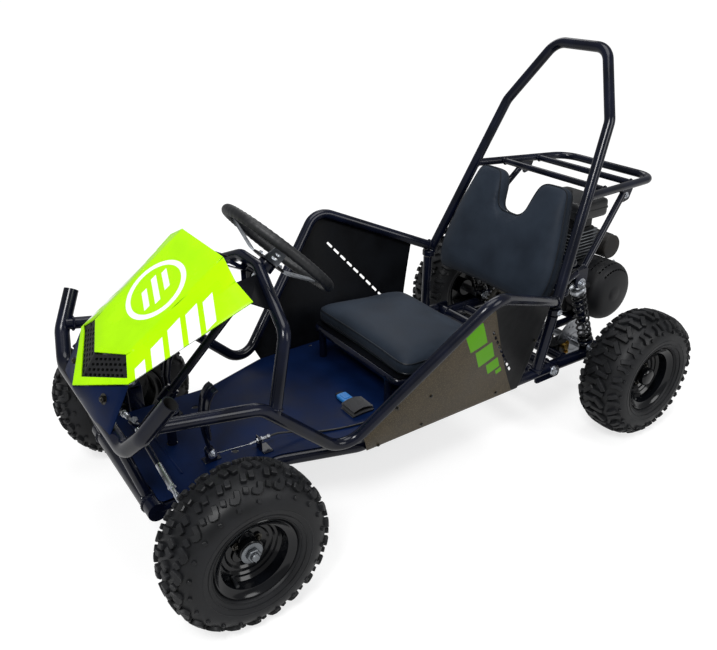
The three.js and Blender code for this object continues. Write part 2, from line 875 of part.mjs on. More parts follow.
// Hood and vent
const hoodCorners = [...hoodShares, ...hoodRight].map(hoodPoint);
const hoodFaces = [
  [0, 1, 2, 4],
  [3, 2, 5],
  [2, 6, 5],
  [2, 1, 7, 6],
];
const mirroredFaces = hoodFaces.map((face) =>
  face.map((i) => ([0, 3, 4].includes(i) ? i : i + hoodShares.length)).reverse(),
);
const hoodBody = sheet(
  hoodCorners,
  [...hoodFaces, ...mirroredFaces, [3, 5, 5 + hoodShares.length]],
  V(0, 0, -hoodDrop),
);
place("hood", hoodBody, finishes.hoodPlastic);
const ventCorners = [hoodShares[4], hoodShares[2], hoodShares[3], hoodRight[2]].map((shares) => {
  const corner = hoodPoint(shares);
  return corner.setZ(corner.z - hoodDrop - ventGap);
});
place(
  "hood_vent",
  sheet(
    ventCorners,
    [
      [0, 1, 2],
      [0, 2, 3],
    ],
    V(0, 0, -ventThickness),
  ),
  finishes.blackPlastic,
);

// Column bracket under the top of the steering hoop, with the strips that carry the hood
const hoopTopPoint = V(0, steerHoopTopReach, steerHoopTopHeight);
const sleeveMiddle = columnAt(upperSleevePlace);
const hoodLip = hoodPoint([0.42, 0.985, 0.955]);
const bracketFront = Math.min(sleeveMiddle.y, hoopTopPoint.y) - columnDiameter / 2;
const stripStart = between(sleeveMiddle, hoopTopPoint, 0.5).setY(bracketFront + panelThickness);
const bracket = cut(
  join(
    upperSleeve.wall,
    box(
      -pitmanWidth,
      pitmanWidth,
      bracketFront,
      Math.max(sleeveMiddle.y, hoopTopPoint.y) + columnDiameter / 2,
      sleeveMiddle.z,
      hoopTopPoint.z,
    ),
    sides.map(([, side]) =>
      slab(
        [
          V(side * pitmanWidth, stripStart.y, stripStart.z),
          V(side * pitmanWidth * 0.2, stripStart.y, stripStart.z),
          V(side * (hoodLip.x - pitmanWidth * 0.8), hoodLip.y, hoodLip.z - hoodThickness * 3),
          V(side * hoodLip.x, hoodLip.y, hoodLip.z - hoodThickness * 3),
        ],
        V(0, 0, -panelThickness),
      ),
    ),
  ),
  upperSleeve.bore,
  steerHoopSolid(grown(steerHoopTube)),
);
place("column_bracket", bracket, finishes.blackPaint);

// Seat
const seatSlope = cushionFrontRise / (cushionRear - cushionFront);
const seatPanHeight = (y) => cushionBase - seatGap + (cushionRear - y) * seatSlope;
const seatLoop = roundedOutline(
  [
    new THREE.Vector2(-seatFrameHalf, seatCrossFront),
    new THREE.Vector2(seatFrameHalf, seatCrossFront),
    new THREE.Vector2(seatFrameHalf, seatCrossRear),
    new THREE.Vector2(-seatFrameHalf, seatCrossRear),
  ],
  frameBend / 2,
  2,
).map((p) => V(p.x, p.y, seatPanHeight(p.y) - seatPanThickness - seatFrameTube / 2));
const seatLegs = [seatCrossFront, seatCrossRear].flatMap((y) =>
  [-1, 1].map((side) =>
    post(
      seatFrameTube,
      side * seatFrameHalf * 0.8,
      y,
      y < floorRear ? floorHeight + floorThickness + seatGap : frameHeight,
      seatPanHeight(y) - seatPanThickness,
      6,
    ),
  ),
);
place(
  "seat_frame",
  cut(
    join(
      tube([...seatLoop.slice(1), seatLoop[0]], seatFrameTube, 6),
      tube([seatLoop[0], seatLoop[1]], seatFrameTube, 6),
      seatLegs,
      slab(
        [
          [-1, seatCrossFront],
          [1, seatCrossFront],
          [1, seatCrossRear - seatFrameTube],
          [-1, seatCrossRear - seatFrameTube],
        ].map(([share, y]) => V(share * cushionHalfWidth * 0.9, y, seatPanHeight(y))),
        V(0, 0, -seatPanThickness - overrun / 2),
      ),
    ),
    [seatCrossFront, seatCrossRear].map((y) => crossTube(y, frameHeight, frameHalfWidth, grown(frameTube))),
  ),
  finishes.steel,
);
const cushionOutline = roundedOutline(
  [
    new THREE.Vector2(-cushionHalfWidth, cushionFront),
    new THREE.Vector2(cushionHalfWidth, cushionFront),
    new THREE.Vector2(cushionHalfWidth * 0.96, cushionRear),
    new THREE.Vector2(-cushionHalfWidth * 0.96, cushionRear),
  ],
  cushionHeight * 0.8,
  4,
);
// Each ring is a share of the pad's thickness, inset and then height, and its scale
const padShares = [
  [0.16, 0, 1],
  [0.04, 0.12, 1],
  [0.08, 0.42, 1],
  [0, 0.66, 1],
  [0.1, 0.84, 1],
  [0.34, 0.93, 1],
];
const crownShares = [
  [0.5, 0.96, 0.92],
  [0.5, 0.99, 0.7],
  [0.5, 1, 0.35],
];
const backCrownShares = [[0.56, 0.97, 1]];
const padRings = (thickness, crown) =>
  [...padShares, ...crown].map(([inset, height, scale]) => [inset * thickness, height * thickness, scale]);
place(
  "seat_cushion",
  pad(cushionOutline, padRings(cushionHeight, crownShares), (p, height) => {
    return V(p.x, p.y, seatPanHeight(p.y) + seatGap + height);
  }),
  finishes.seatVinyl,
);

// Backrest: shares of half width and of length up the back
const backHalfShares = [
  [0.9, 0],
  [1, 0.18],
  [1, 0.38],
  [0.95, 0.6],
  [0.8, 0.985],
  [0.44, 1],
  [0.33, 0.97],
  [0.2, 0.7],
];
const backUp = V(0, Math.sin(backLean * degree), Math.cos(backLean * degree));
const backOut = V(0, -Math.cos(backLean * degree), Math.sin(backLean * degree));
const backRight = backHalfShares.map(([x, y]) => new THREE.Vector2(x * backHalfWidth, y * backLength));
const backLeft = [...backRight].reverse().map((p) => new THREE.Vector2(-p.x, p.y));
const backOutline = roundedOutline([...backRight, ...backLeft], backThickness * 0.6, 1);
const backPlace = (p, height) =>
  V(p.x, backFoot, backFootHeight)
    .addScaledVector(backUp, p.y)
    .addScaledVector(backOut, height - backThickness);
const backrest = pad(backOutline, padRings(backThickness, backCrownShares), backPlace);
place("seat_backrest", backrest, finishes.seatVinyl);
const boardHalf = backHalfWidth * backBoardShare;
const boardCorners = [
  [boardHalf, 0.08],
  [boardHalf, 0.62],
  [-boardHalf, 0.62],
  [-boardHalf, 0.08],
].map(([x, y]) => backPlace(new THREE.Vector2(x, y * backLength), -seatGap));
function backBar(share) {
  const leg = legAt(backFootHeight + share * (hoopShoulderHeight - backFootHeight) * 0.4);
  const rise = (leg.z - backFootHeight) / backUp.z;
  const rear = backPlace(new THREE.Vector2(0, rise), -backBoardThickness);
  const corners = [leg, V(leg.x, Math.max(leg.y + backBarTube, rear.y + backBarTube * 0.3), leg.z)];
  return bentTube([...corners, ...[...corners].reverse().map(mirrored)], backBarTube, frameBend / 3);
}
place(
  "seat_back_frame",
  cut(
    join(
      slab(boardCorners, backOut.clone().multiplyScalar(-backBoardThickness)),
      backBarShares.map((share) => backBar(share)),
    ),
    hoopSolid(grown(hoopTube)),
    slab(
      [
        [-1, -1],
        [1, -1],
        [1, 2],
        [-1, 2],
      ].map(([x, y]) =>
        backPlace(new THREE.Vector2(x * (backHalfWidth + seatGap), y * backLength), -seatGap),
      ),
      backOut.clone().multiplyScalar(backThickness * 3),
    ),
  ),
  finishes.blackPaint,
);

// Wheels
const profileOfRim = (bore) => {
  const half = rimWidth / 2;
  const flange = flangeDiameter / 2;
  const barrel = rimBarrelDiameter / 2;
  const bed = barrel - rimWall;
  const lip = flange - rimFlange;
  const hub = hubDiameter / 2;
  const faces = [discOffset - discThickness / 2, discOffset + discThickness / 2];
  const profile = [
    [flange, half - rimFlange],
    [barrel, half - 2 * rimFlange],
    [barrel, -half + 2 * rimFlange],
    [flange, -half + rimFlange],
    [lip, -half],
    [bed, -half + 2 * rimFlange],
    [bed, faces[0]],
    [hub, faces[0]],
    [hub, -hubInner],
    [bore / 2, -hubInner],
    [bore / 2, hubOuter],
    [hub * 0.8, hubOuter],
    [hub, faces[1]],
    [bed, faces[1]],
    [bed, half - 2 * rimFlange],
    [lip, half],
  ];
  return [...profile, profile[0]];
};
// Tyre outline as shares of its radius and its half width
const tyreShares = [
  [0.93, 0.9],
  [0.985, 0.66],
  [1, 0.3],
  [1, -0.3],
  [0.985, -0.66],
  [0.93, -0.9],
  [0.8, -1],
  [0.66, -0.97],
];
function profileOfTyre() {
  const radius = tyreDiameter / 2;
  const half = tyreWidth / 2;
  const seat = rimBarrelDiameter / 2 + seatGap;
  const bead = rimWidth / 2 - 2 * rimFlange - seatGap;
  const flange = flangeDiameter / 2 + seatGap;
  const beadOut = rimWidth / 2 - rimFlange - seatGap;
  const outer = tyreShares.map(([r, x]) => [r * radius, x * half]);
  const profile = [
    [0.66 * radius, 0.97 * half],
    [0.8 * radius, half],
    ...outer,
    [flange, -rimWidth / 2],
    [flange, -beadOut - seatGap],
    [seat, -bead],
    [seat, bead],
    [flange, beadOut + seatGap],
    [flange, rimWidth / 2],
  ];
  return [...profile, profile[0]];
}
const wheelSides = 20; // of tyre and rim alike, so that their facets lie side by side
// A wheel's profile turned so that the middles of its facets have the true radius, one of them lowest
const wheelTurned = (profile) =>
  turned(
    profile.map(([r, x]) => [r / Math.cos(Math.PI / wheelSides), x]),
    wheelSides,
  ).rotateX(Math.PI / wheelSides);
function wheel(word, end, group, side, bore) {
  const flip = side < 0 ? new THREE.Matrix4().makeScale(-1, 1, 1) : new THREE.Matrix4();
  const rim = wheelTurned(profileOfRim(bore)).applyMatrix4(flip);
  const tyre = wheelTurned(profileOfTyre());
  place("rim_" + end + "_" + word, rim, finishes.blackPaint, group);
  place("tyre_" + end + "_" + word, tyre, finishes.tyreRubber, group);
}

sides.forEach(([word, side]) => {
  const group = new THREE.Group();
  group.position.set((side * frontTrack) / 2, frontAxle, axleHeight);
  kart.add(group);
  wheel(word, "front", group, side, stubDiameter + 2 * runningGap);
  const x = side * kingpinHalf;
  const ball = V(x - side * steerArmInset, frontAxle - steerArmReach, 0);
  const top = barrelTop - steerArmDrop;
  const half = steerArmWidth / 2;
  const outer = (side * frontTrack) / 2 + side * (hubOuter + 2 * seatGap);
  const knuckle = cut(
    join(
      post(barrelDiameter, x, frontAxle, barrelBottom, barrelTop),
      disc(stubDiameter, x, outer + side * wheelNutHeight * 1.3, frontAxle, axleHeight, 12),
      disc(wheelNutDiameter, outer, outer + side * wheelNutHeight, frontAxle, axleHeight, 6),
      disc(hubDiameter * 0.7, x, side * (frontTrack / 2 - hubInner - 2 * seatGap), frontAxle, axleHeight, 12),
      slab(
        sided(1, [
          V(x - half, frontAxle, top),
          V(x + half, frontAxle, top),
          V(ball.x + half, ball.y - half * 0.7, top),
          V(ball.x - half, ball.y - half * 0.7, top),
        ]),
        V(0, 0, -steerArmThickness),
      ),
    ),
    post(kingpinDiameter + 2 * runningGap, x, frontAxle, barrelBottom - overrun, barrelTop + overrun),
  );
  place("knuckle_" + word, knuckle, finishes.blackPaint);

  const eye = V(ball.x, ball.y, top + seatGap + tieEyeHeight / 2);
  const inner = V(side * tieRodInnerHalf, pitmanTip().y, pitmanTip().z);
  const rod = join(
    tube([eye, inner], tieRodDiameter, 10),
    post(tieEyeDiameter, eye.x, eye.y, eye.z - tieEyeHeight / 2, eye.z + tieEyeHeight / 2),
  );
  place("tie_rod_" + word, rod, finishes.zinc);
});

// Steering wheel and column, along the column's own axis
function pitmanTip() {
  const across = V(0, -Math.sin(columnAngle * degree), Math.cos(columnAngle * degree));
  return columnAt(columnLength - pitmanThickness / 2).addScaledVector(across, pitmanLength);
}
const steering = new THREE.Group();
steering.position.copy(ringMiddle);
steering.rotation.x = (columnAngle - 90) * degree;
kart.add(steering);
// In the steering group the column runs down -Z and the top of the ring is on -Y.
const ring = new THREE.TorusGeometry(wheelRingRadius, wheelRingTube / 2, 8, 20);
const spoke = (turn) => {
  const width = spokeWidth / 2;
  const inner = hubPlateDiameter * 0.3;
  const bend = hubPlateDiameter * 0.62;
  const low = -ringDish;
  const corners = [
    V(inner, -width, low),
    V(inner, width, low),
    V(bend, width, low),
    V(bend, -width, low),
  ];
  const rise = [
    V(bend - spokeThickness, -width, low),
    V(bend - spokeThickness, width, low),
    V(wheelRingRadius, width * 0.7, 0),
    V(wheelRingRadius, -width * 0.7, 0),
  ];
  const thick = V(0, 0, spokeThickness);
  return [slab(corners, thick), slab(rise, thick)].map((g) => g.rotateZ(turn * degree));
};
const hubPlate = new THREE.CylinderGeometry(hubPlateDiameter / 2, hubPlateDiameter / 2, hubPlateThickness, 20)
  .rotateX(Math.PI / 2)
  .translate(0, 0, -ringDish + hubPlateThickness / 2 - spokeThickness / 2);
place("steering_wheel", join(ring, spokeTurns.flatMap(spoke), hubPlate), finishes.blackPlastic, steering);
const columnTop = -ringDish - spokeThickness / 2 - seatGap;
place(
  "steering_column",
  join(
    tube([V(0, 0, columnTop), V(0, 0, -columnLength)], columnDiameter, 12),
    tube([V(0, 0, columnTop), V(0, 0, columnTop - columnDiameter)], hubPlateDiameter * 0.5, 12),
    box(
      -pitmanWidth / 2,
      pitmanWidth / 2,
      0,
      -pitmanLength - pitmanWidth / 2,
      -columnLength,
      -columnLength + pitmanThickness,
    ),
  ),
  finishes.blackPaint,
  steering,
);

// Pedals, each on a pin between two lugs
sides.forEach(([word, side]) => {
  const x = side * pedalHalf;
  const name = side > 0 ? "brake_pedal" : "throttle_pedal";
  const pivotHeight = floorHeight + floorThickness + pedalPivotRise;
  const half = pedalArmWidth / 2 + seatGap;
  const lugs = [-1, 1].map((end) =>
    box(
      x + end * half,
      x + end * (half + pivotPlate),
      pedalPivotReach - pedalPin,
      pedalPivotReach + pedalPin,
      floorHeight + floorThickness + seatGap,
      pivotHeight + pedalPin,
    ),
  );
  place(
    "pedal_bracket_" + word,
    join(
      lugs,
      box(
        x - half - pivotPlate,
        x + half + pivotPlate,
        pedalPivotReach - pedalPin * 2,
        pedalPivotReach + pedalPin * 2,
        floorHeight + floorThickness + seatGap,
        floorHeight + floorThickness + seatGap + panelThickness,
      ),
      disc(pedalPin, x - half - pivotPlate, x + half + pivotPlate, pedalPivotReach, pivotHeight, 10),
    ),
    finishes.blackPaint,
  );
  const blade = [
    [0, 0],
    [-0.06, 0.3],
    [-0.07, 0.6],
    [-0.02, 0.85],
    [0.06, 0.97],
    [0.13, 1],
  ].map(([y, z]) => V(x, pedalPivotReach + y * pedalHeight, pivotHeight + z * pedalHeight));
  const arm = new THREE.ExtrudeGeometry(
    new THREE.Shape([
      new THREE.Vector2(-pedalArmWidth / 2, -pedalArmWidth / 2),
      new THREE.Vector2(pedalArmWidth / 2, -pedalArmWidth / 2),
      new THREE.Vector2(pedalArmWidth / 2, pedalArmWidth / 2),
      new THREE.Vector2(-pedalArmWidth / 2, pedalArmWidth / 2),
    ]),
    { steps: blade.length - 1, extrudePath: new BentPath(blade), bevelEnabled: false },
  );
  const face = blade.slice(2);
  const plate = face.slice(1).map((p, i) => {
    const q = face[i];
    const width = pedalWidth / 2;
    const along = p.clone().sub(q).normalize();
    const front = V(0, along.z, -along.y).multiplyScalar(pedalThickness);
    const end = i === face.length - 2 ? 0 : pedalThickness * 0.3;
    const a = q.clone().addScaledVector(along, -pedalThickness * 0.3);
    const b = p.clone().addScaledVector(along, end);
    return slab(
      [
        V(x - width, a.y, a.z),
        V(x + width, a.y, a.z),
        V(x + width, b.y, b.z),
        V(x - width, b.y, b.z),
      ],
      front,
    );
  });
  const pedal = cut(
    join(
      arm,
      plate,
      disc(pedalPin * 2, x - pedalArmWidth / 2, x + pedalArmWidth / 2, pedalPivotReach, pivotHeight),
    ),
    disc(pedalPin + 2 * runningGap, x - pedalWidth, x + pedalWidth, pedalPivotReach, pivotHeight, 10),
  );
  place(name, pedal, finishes.blackPlastic);
});

// Swing arm with bearing housings and the engine rails
const armEnd = V(swingHalfWidth, rearAxle, axleHeight);
const armStart = V(swingHalfWidth, swingPivotReach, swingPivotHeight);
const railTop = axleHeight + engineRailRise;
const swingPivotHalf = swingHalfWidth + swingTube / 2;
const enginePlateTop = railTop + rackTube / 2 + enginePlateThickness / 2;
const armAt = (y) => between(armStart, armEnd, (y - armStart.y) / (armEnd.y - armStart.y));
function shockFootEars(side) {
  const x = side * swingHalfWidth;
  const half = shockEye / 2 + seatGap;
  const ears = [-1, 1].map((end) => {
    return box(
      x + end * half,
      x + end * (half + pivotPlate / 2),
      shockFootReach - shockEye * 0.6,
      shockFootReach + shockEye * 0.6,
      armAt(shockFootReach).z,
      shockFootHeight + shockEye * 0.45,
    );
  });
  const reach = half + pivotPlate / 2;
  return [...ears, disc(shockBolt, x - reach, x + reach, shockFootReach, shockFootHeight, 12)];
}
const swingArm = cut(
  join(
    sides.flatMap(([, side]) => [
      tube(sided(side, [armStart, armEnd]), swingTube, 8),
      disc(
        bearingDiameter,
        side * swingHalfWidth - bearingWidth / 2,
        side * swingHalfWidth + bearingWidth / 2,
        rearAxle,
        axleHeight,
      ),
      ...shockFootEars(side),
      bentTube(
        sided(side, [
          V(engineRailHalf, swingCross, armAt(swingCross).z),
          V(engineRailHalf, swingCross + (railTop - armAt(swingCross).z), railTop),
          V(engineRailHalf, engineRailRear, railTop),
        ]),
        rackTube,
        frameBend / 2,
      ),
    ]),
    crossTube(swingPivotReach, swingPivotHeight, swingPivotHalf, swingPivotTube),
    crossTube(swingCross, armAt(swingCross).z, swingHalfWidth, frameTube),
    box(
      -engineRailHalf - rackTube / 2,
      engineRailHalf + rackTube / 2,
      crankReach - caseLength / 2,
      engineRailRear,
      enginePlateTop - enginePlateThickness,
      enginePlateTop,
    ),
    crossTube(swingPivotReach, swingPivotHeight, swingPivotHalf + seatGap + pivotPlate * 2.4, pivotBolt),
  ),
  crossTube(rearAxle, axleHeight, swingHalfWidth + bearingWidth, axleDiameter + 2 * runningGap, 12),
);
place("swing_arm", swingArm, finishes.blackPaint);

// Rear axle with its wheels, sprocket and brake disc
const rear = new THREE.Group();
rear.position.set(0, rearAxle, axleHeight);
kart.add(rear);
const axleHalf = rearTrack / 2 + hubOuter;
place("rear_axle", tube([V(-axleHalf, 0, 0), V(axleHalf, 0, 0)], axleDiameter, 12), finishes.steel, rear);
sides.forEach(([word, side]) => {
  const group = new THREE.Group();
  group.position.x = (side * rearTrack) / 2;
  rear.add(group);
  wheel(word, "rear", group, side, axleDiameter + 2 * seatGap);
  const start = hubOuter + seatGap;
  const cap = [
    [0, start],
    [hubDiameter * 0.46, start],
    [hubDiameter * 0.46, start + capHeight * 0.3],
    [hubDiameter * 0.36, start + capHeight * 0.42],
    [0, start + capHeight * 0.46],
  ].map(([r, x]) => [r, side * x]);
  place("hub_cap_rear_" + word, turned(cap, 16), finishes.blackPlastic, group);
});
// A plate on a hub that sits on the rear axle; the hub reaches inward from the plate
const axlePlate = (outer, thickness, plane, count) =>
  cut(
    join(
      disc(outer, plane - thickness / 2, plane + thickness / 2, 0, 0, count),
      disc(hubDiameter, plane, plane - Math.sign(plane) * hubInner, 0, 0, 16),
    ),
    disc(grown(axleDiameter), plane - hubInner * 2, plane + hubInner * 2, 0, 0, 12),
  );
place(
  "axle_sprocket",
  axlePlate(axleSprocketDiameter, sprocketThickness, drivePlane, 32),
  finishes.steel,
  rear,
);
place(
  "brake_disc",
  axlePlate(discDiameter, discRotorThickness, discPlane, 24),
  finishes.steel,
  rear,
);

// Caliper over the front edge of the disc, on the swing arm's cross tube
const caliperRear = rearAxle - discDiameter * 0.3;
place(
  "brake_caliper",
  cut(
    box(
      discPlane - hubInner * 0.6,
      discPlane + hubInner * 0.6,
      swingCross,
      caliperRear,
      armAt(swingCross).z - hubInner * 0.7,
      armAt(swingCross).z + hubInner * 0.7,
    ),
    box(
      discPlane - discRotorThickness,
      discPlane + discRotorThickness,
      rearAxle - discDiameter / 2 - overrun,
      caliperRear + overrun,
      -axleHeight,
      axleHeight * 2,
    ),
    crossTube(swingCross, armAt(swingCross).z, swingHalfWidth, grown(frameTube)),
  ),
  finishes.castMetal,
);

// Engine
const engineBase = enginePlateTop + seatGap;
const cylinderBase = crankHeight + caseLength * 0.4;
const cylinderReach = crankReach - caseLength * 0.06;
const finStep = cylinderHeight / finCount;
const fins = [];
for (let i = 0; i < finCount; i++) {
  const z = cylinderBase + (i + 0.5) * finStep;
  const half = cylinderWidth / 2 + (i % 2 ? 0 : finOverhang);
  fins.push(box(-half, half, cylinderReach - half, cylinderReach + half, z, z + finThickness));
}
const tankHalf = tankWidth / 2;
const tankMiddle = crankReach - tankLength * 0.06;
const tankTop = tankBottom + tankHeight;
const headTop = cylinderBase + cylinderHeight;
// A box that stands square on its middle, from z0 up to z1
const block = (halfX, halfY, y, z0, z1) => box(-halfX, halfX, y - halfY, y + halfY, z0, z1);
const engineBlock = join(
  block(caseHalfWidth, caseLength / 2, crankReach, engineBase, cylinderBase),
  block(cylinderWidth / 2, cylinderWidth / 2, cylinderReach, cylinderBase - overrun, headTop),
  fins,
  disc(fanDiameter, 0, caseHalfWidth + fanDepth, crankReach, crankHeight, 24),
  disc(columnDiameter, -caseHalfWidth + overrun, drivePlane - clutchDepth * 1.3, crankReach, crankHeight, 12),
);
place("engine_block", engineBlock, finishes.castMetal);
const starterStart = caseHalfWidth + fanDepth + seatGap;
const starterProfile = [
  [0, 0],
  [0.5, 0],
  [0.5, 0.55],
  [0.46, 0.8],
  [0.36, 0.95],
  [0, 1],
].map(([r, x]) => [r * starterDiameter, starterStart + x * starterDepth]);
const slots = [];
for (let i = 0; i < 6; i++) {
  slots.push(
    box(
      starterStart + starterDepth * 0.3,
      starterStart + starterDepth * 0.5,
      -starterDiameter * 0.02,
      starterDiameter * 0.02,
      starterDiameter * 0.46,
      starterDiameter * 0.55,
    ).rotateX((i - 2.5) * 12 * degree),
  );
}
place(
  "recoil_starter",
  geometryOf(cut(turned(starterProfile, 24), slots)).translate(0, crankReach, crankHeight),
  finishes.blackPlastic,
);
place(
  "fuel_tank",
  join(
    block(tankHalf, tankLength / 2, tankMiddle, tankBottom, tankTop),
    post(hubDiameter * 0.8, -tankHalf * 0.4, tankMiddle, tankTop - overrun, tankTop + overrun * 2),
    block(cylinderWidth / 2, cylinderWidth * 0.4, cylinderReach, headTop + seatGap, tankBottom + overrun),
  ),
  finishes.blackPlastic,
);
const mufflerReach = crankReach + caseLength / 2 + mufflerDiameter * 0.3;
const mufflerHeight = crankHeight + caseLength * 0.62;
const pipeHeight = cylinderBase + finStep * 3.5 + finThickness / 2; // in line with a short fin
place(
  "muffler",
  join(
    disc(mufflerDiameter, -mufflerLength / 2, mufflerLength / 2, mufflerReach, mufflerHeight, 20),
    bentTube(
      [
        V(0, cylinderReach + cylinderWidth / 2 + seatGap, pipeHeight),
        V(0, mufflerReach, pipeHeight),
        V(0, mufflerReach, mufflerHeight),
      ],
      rackBarTube,
      frameBend / 3,
    ),
  ),
  finishes.castMetal,
);
place(
  "air_cleaner",
  box(
    -caseHalfWidth * 1.2 - caseHalfWidth * 0.7,
    -cylinderWidth / 2 - finOverhang - seatGap,
    cylinderReach - cylinderWidth * 0.4,
    cylinderReach + cylinderWidth * 0.4,
    cylinderBase + finStep,
    headTop,
  ),
  finishes.blackPlastic,
);

// Clutch drum with its small sprocket, and the chain round both sprockets
const clutchDisc = (diameter, from, to, count = 12) =>
  disc(diameter, drivePlane + from, drivePlane + to, crankReach, crankHeight, count);
place(
  "clutch",
  cut(
    join(
      clutchDisc(clutchSprocketDiameter, -sprocketThickness / 2, sprocketThickness),
      clutchDisc(clutchDiameter, -sprocketThickness, -sprocketThickness - clutchDepth, 20),
      clutchDisc(clutchSprocketDiameter * 0.7, -sprocketThickness * 2, sprocketThickness * 2),
    ),
    clutchDisc(columnDiameter + 2 * runningGap, -clutchDepth * 3, clutchDepth),
  ),
  finishes.castMetal,
);
function chainOutline(extra) {
  const big = { y: rearAxle, z: axleHeight, r: axleSprocketDiameter / 2 + seatGap + extra };
  const small = { y: crankReach, z: crankHeight, r: clutchSprocketDiameter / 2 + seatGap + extra };
  const along = Math.atan2(small.z - big.z, small.y - big.y);
  const length = Math.hypot(small.z - big.z, small.y - big.y);
  const spread = Math.acos((big.r - small.r) / length);
  const points = [];
  const arc = (circle, from, to, steps) => {
    for (let i = 0; i <= steps; i++) {
      const angle = from + ((to - from) * i) / steps;
      points.push(V(0, circle.y + circle.r * Math.cos(angle), circle.z + circle.r * Math.sin(angle)));
    }
  };
  arc(big, along + spread, along + 2 * Math.PI - spread, 20);
  arc(small, along - spread, along + spread, 10);
  return points;
}
const chainSlab = (extra, half) =>
  slab(
    chainOutline(extra).map((p) => p.setX(drivePlane - half)),
    V(2 * half, 0, 0),
  );
place(
  "drive_chain",
  cut(chainSlab(chainHeight * 0.9, chainWidth / 2), chainSlab(chainHeight * 0.1, chainWidth)),
  finishes.steel,
);

// Least gap between two curls of a wound wire, measured over its own points
function selfGap(points, wire) {
  let least = Infinity;
  points.forEach((p, i) => {
    for (let k = i + Math.ceil(curlSteps / 2); k < points.length - 1; k++) {
      const run = new THREE.Line3(points[k], points[k + 1]);
      least = Math.min(least, run.closestPointToPoint(p, true, new THREE.Vector3()).distanceTo(p));
    }
  });
  return least - wire;
}

// Shocks: a damper body hung from the rack strut, its rod and a coil spring
sides.forEach(([word, side]) => {
  const top = shockTop(side);
  const foot = V(side * swingHalfWidth, shockFootReach, shockFootHeight);
  const down = foot.clone().sub(top).normalize();
  const length = foot.distanceTo(top);
  const along = (d) => top.clone().addScaledVector(down, d);
  const capStart = shockEye;
  const springStart = capStart + shockCapHeight + seatGap;
  const plateStart = length - shockEye * 0.75 - shockCapHeight * 0.4;
  const springEnd = plateStart - seatGap;
  const bodyEnd = length * 0.62;
  const eyeAt = (p) => disc(shockEye, p.x - shockEye / 2, p.x + shockEye / 2, p.y, p.z, 12);
  const eyeBore = (p) => disc(shockBolt + 3 * runningGap, p.x - shockEye, p.x + shockEye, p.y, p.z, 10);
  place(
    "shock_body_" + word,
    cut(
      join(
        eyeAt(top),
        tube([along(shockEye * 0.3), along(capStart + overrun)], shockBodyDiameter * 0.9, 10),
        tube([along(capStart), along(capStart + shockCapHeight)], shockCapDiameter, 12),
        tube([along(capStart + overrun), along(bodyEnd)], shockBodyDiameter, 10),
      ),
      eyeBore(top),
      tube([along(bodyEnd - length * 0.4), along(bodyEnd + overrun)], shockRodDiameter + 2 * runningGap, 10),
    ),
    finishes.zinc,
  );
  place(
    "shock_rod_" + word,
    cut(
      join(
        eyeAt(foot),
        tube([along(length - shockEye * 0.3), along(plateStart)], shockBodyDiameter * 0.8, 10),
        tube([along(plateStart), along(plateStart + shockCapHeight * 0.4)], shockCapDiameter, 12),
        tube([along(plateStart + overrun / 2), along(bodyEnd - length * 0.2)], shockRodDiameter, 10),
      ),
      eyeBore(foot),
    ),
    finishes.steel,
  );
  const coilRadius = (springDiameter - springWire) / 2;
  const flat = V(1, 0, 0);
  const other = down.clone().cross(flat);
  const runStart = springStart + springWire / 2;
  const runEnd = springEnd - springWire / 2;
  const points = [];
  const steps = springCurls * curlSteps;
  for (let i = 0; i <= steps; i++) {
    const angle = (i / curlSteps) * 2 * Math.PI;
    points.push(
      along(runStart + ((runEnd - runStart) * i) / steps)
        .addScaledVector(flat, coilRadius * Math.cos(angle))
        .addScaledVector(other, coilRadius * Math.sin(angle)),
    );
  }
  points.unshift(points[0].clone().addScaledVector(other, -springWire));
  points.push(points[points.length - 1].clone().addScaledVector(other, springWire));
  console.log("spring " + word + ": least gap to itself " + selfGap(points, springWire).toFixed(2) + " mm");
  place("shock_spring_" + word, tube(points, springWire, 5), finishes.springSteel);
});

// Lap belt: its folded strap on the floor pan, and the buckle
const beltFloor = floorHeight + floorThickness + seatGap;
const beltStart = beltReach - beltLength / 2;
place(
  "belt_pad",
  box(beltHalf, beltHalf + beltWidth, beltStart, beltStart + beltLength, beltFloor, beltFloor + beltHeight),
  finishes.webbing,
);
place(
  "belt_buckle",
  box(
    beltHalf - seatGap - buckleWidth,
    beltHalf - seatGap,
    beltReach - buckleLength / 2,
    beltReach + buckleLength / 2,
    beltFloor,
    beltFloor + buckleHeight,
  ),
  finishes.blueBuckle,
);

const rearMost = rackRearReach + rackTube / 2;
kart.position.y = -(rearMost + hoodNose) / 2;

export default kart;
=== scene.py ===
"""Off road go kart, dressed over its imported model: smooth tubes, formed panels, upholstery, tyres and engine.

Lengths are millimetres in the kart's own frame, with the nose towards -Y, the driver's left on +X and the
ground at zero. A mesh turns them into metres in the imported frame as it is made.
"""
import logging
import math
from collections.abc import Callable
from dataclasses import dataclass
from enum import Enum

import bmesh
import bpy
import numpy as np
from mathutils import Matrix
from mathutils.bvhtree import BVHTree


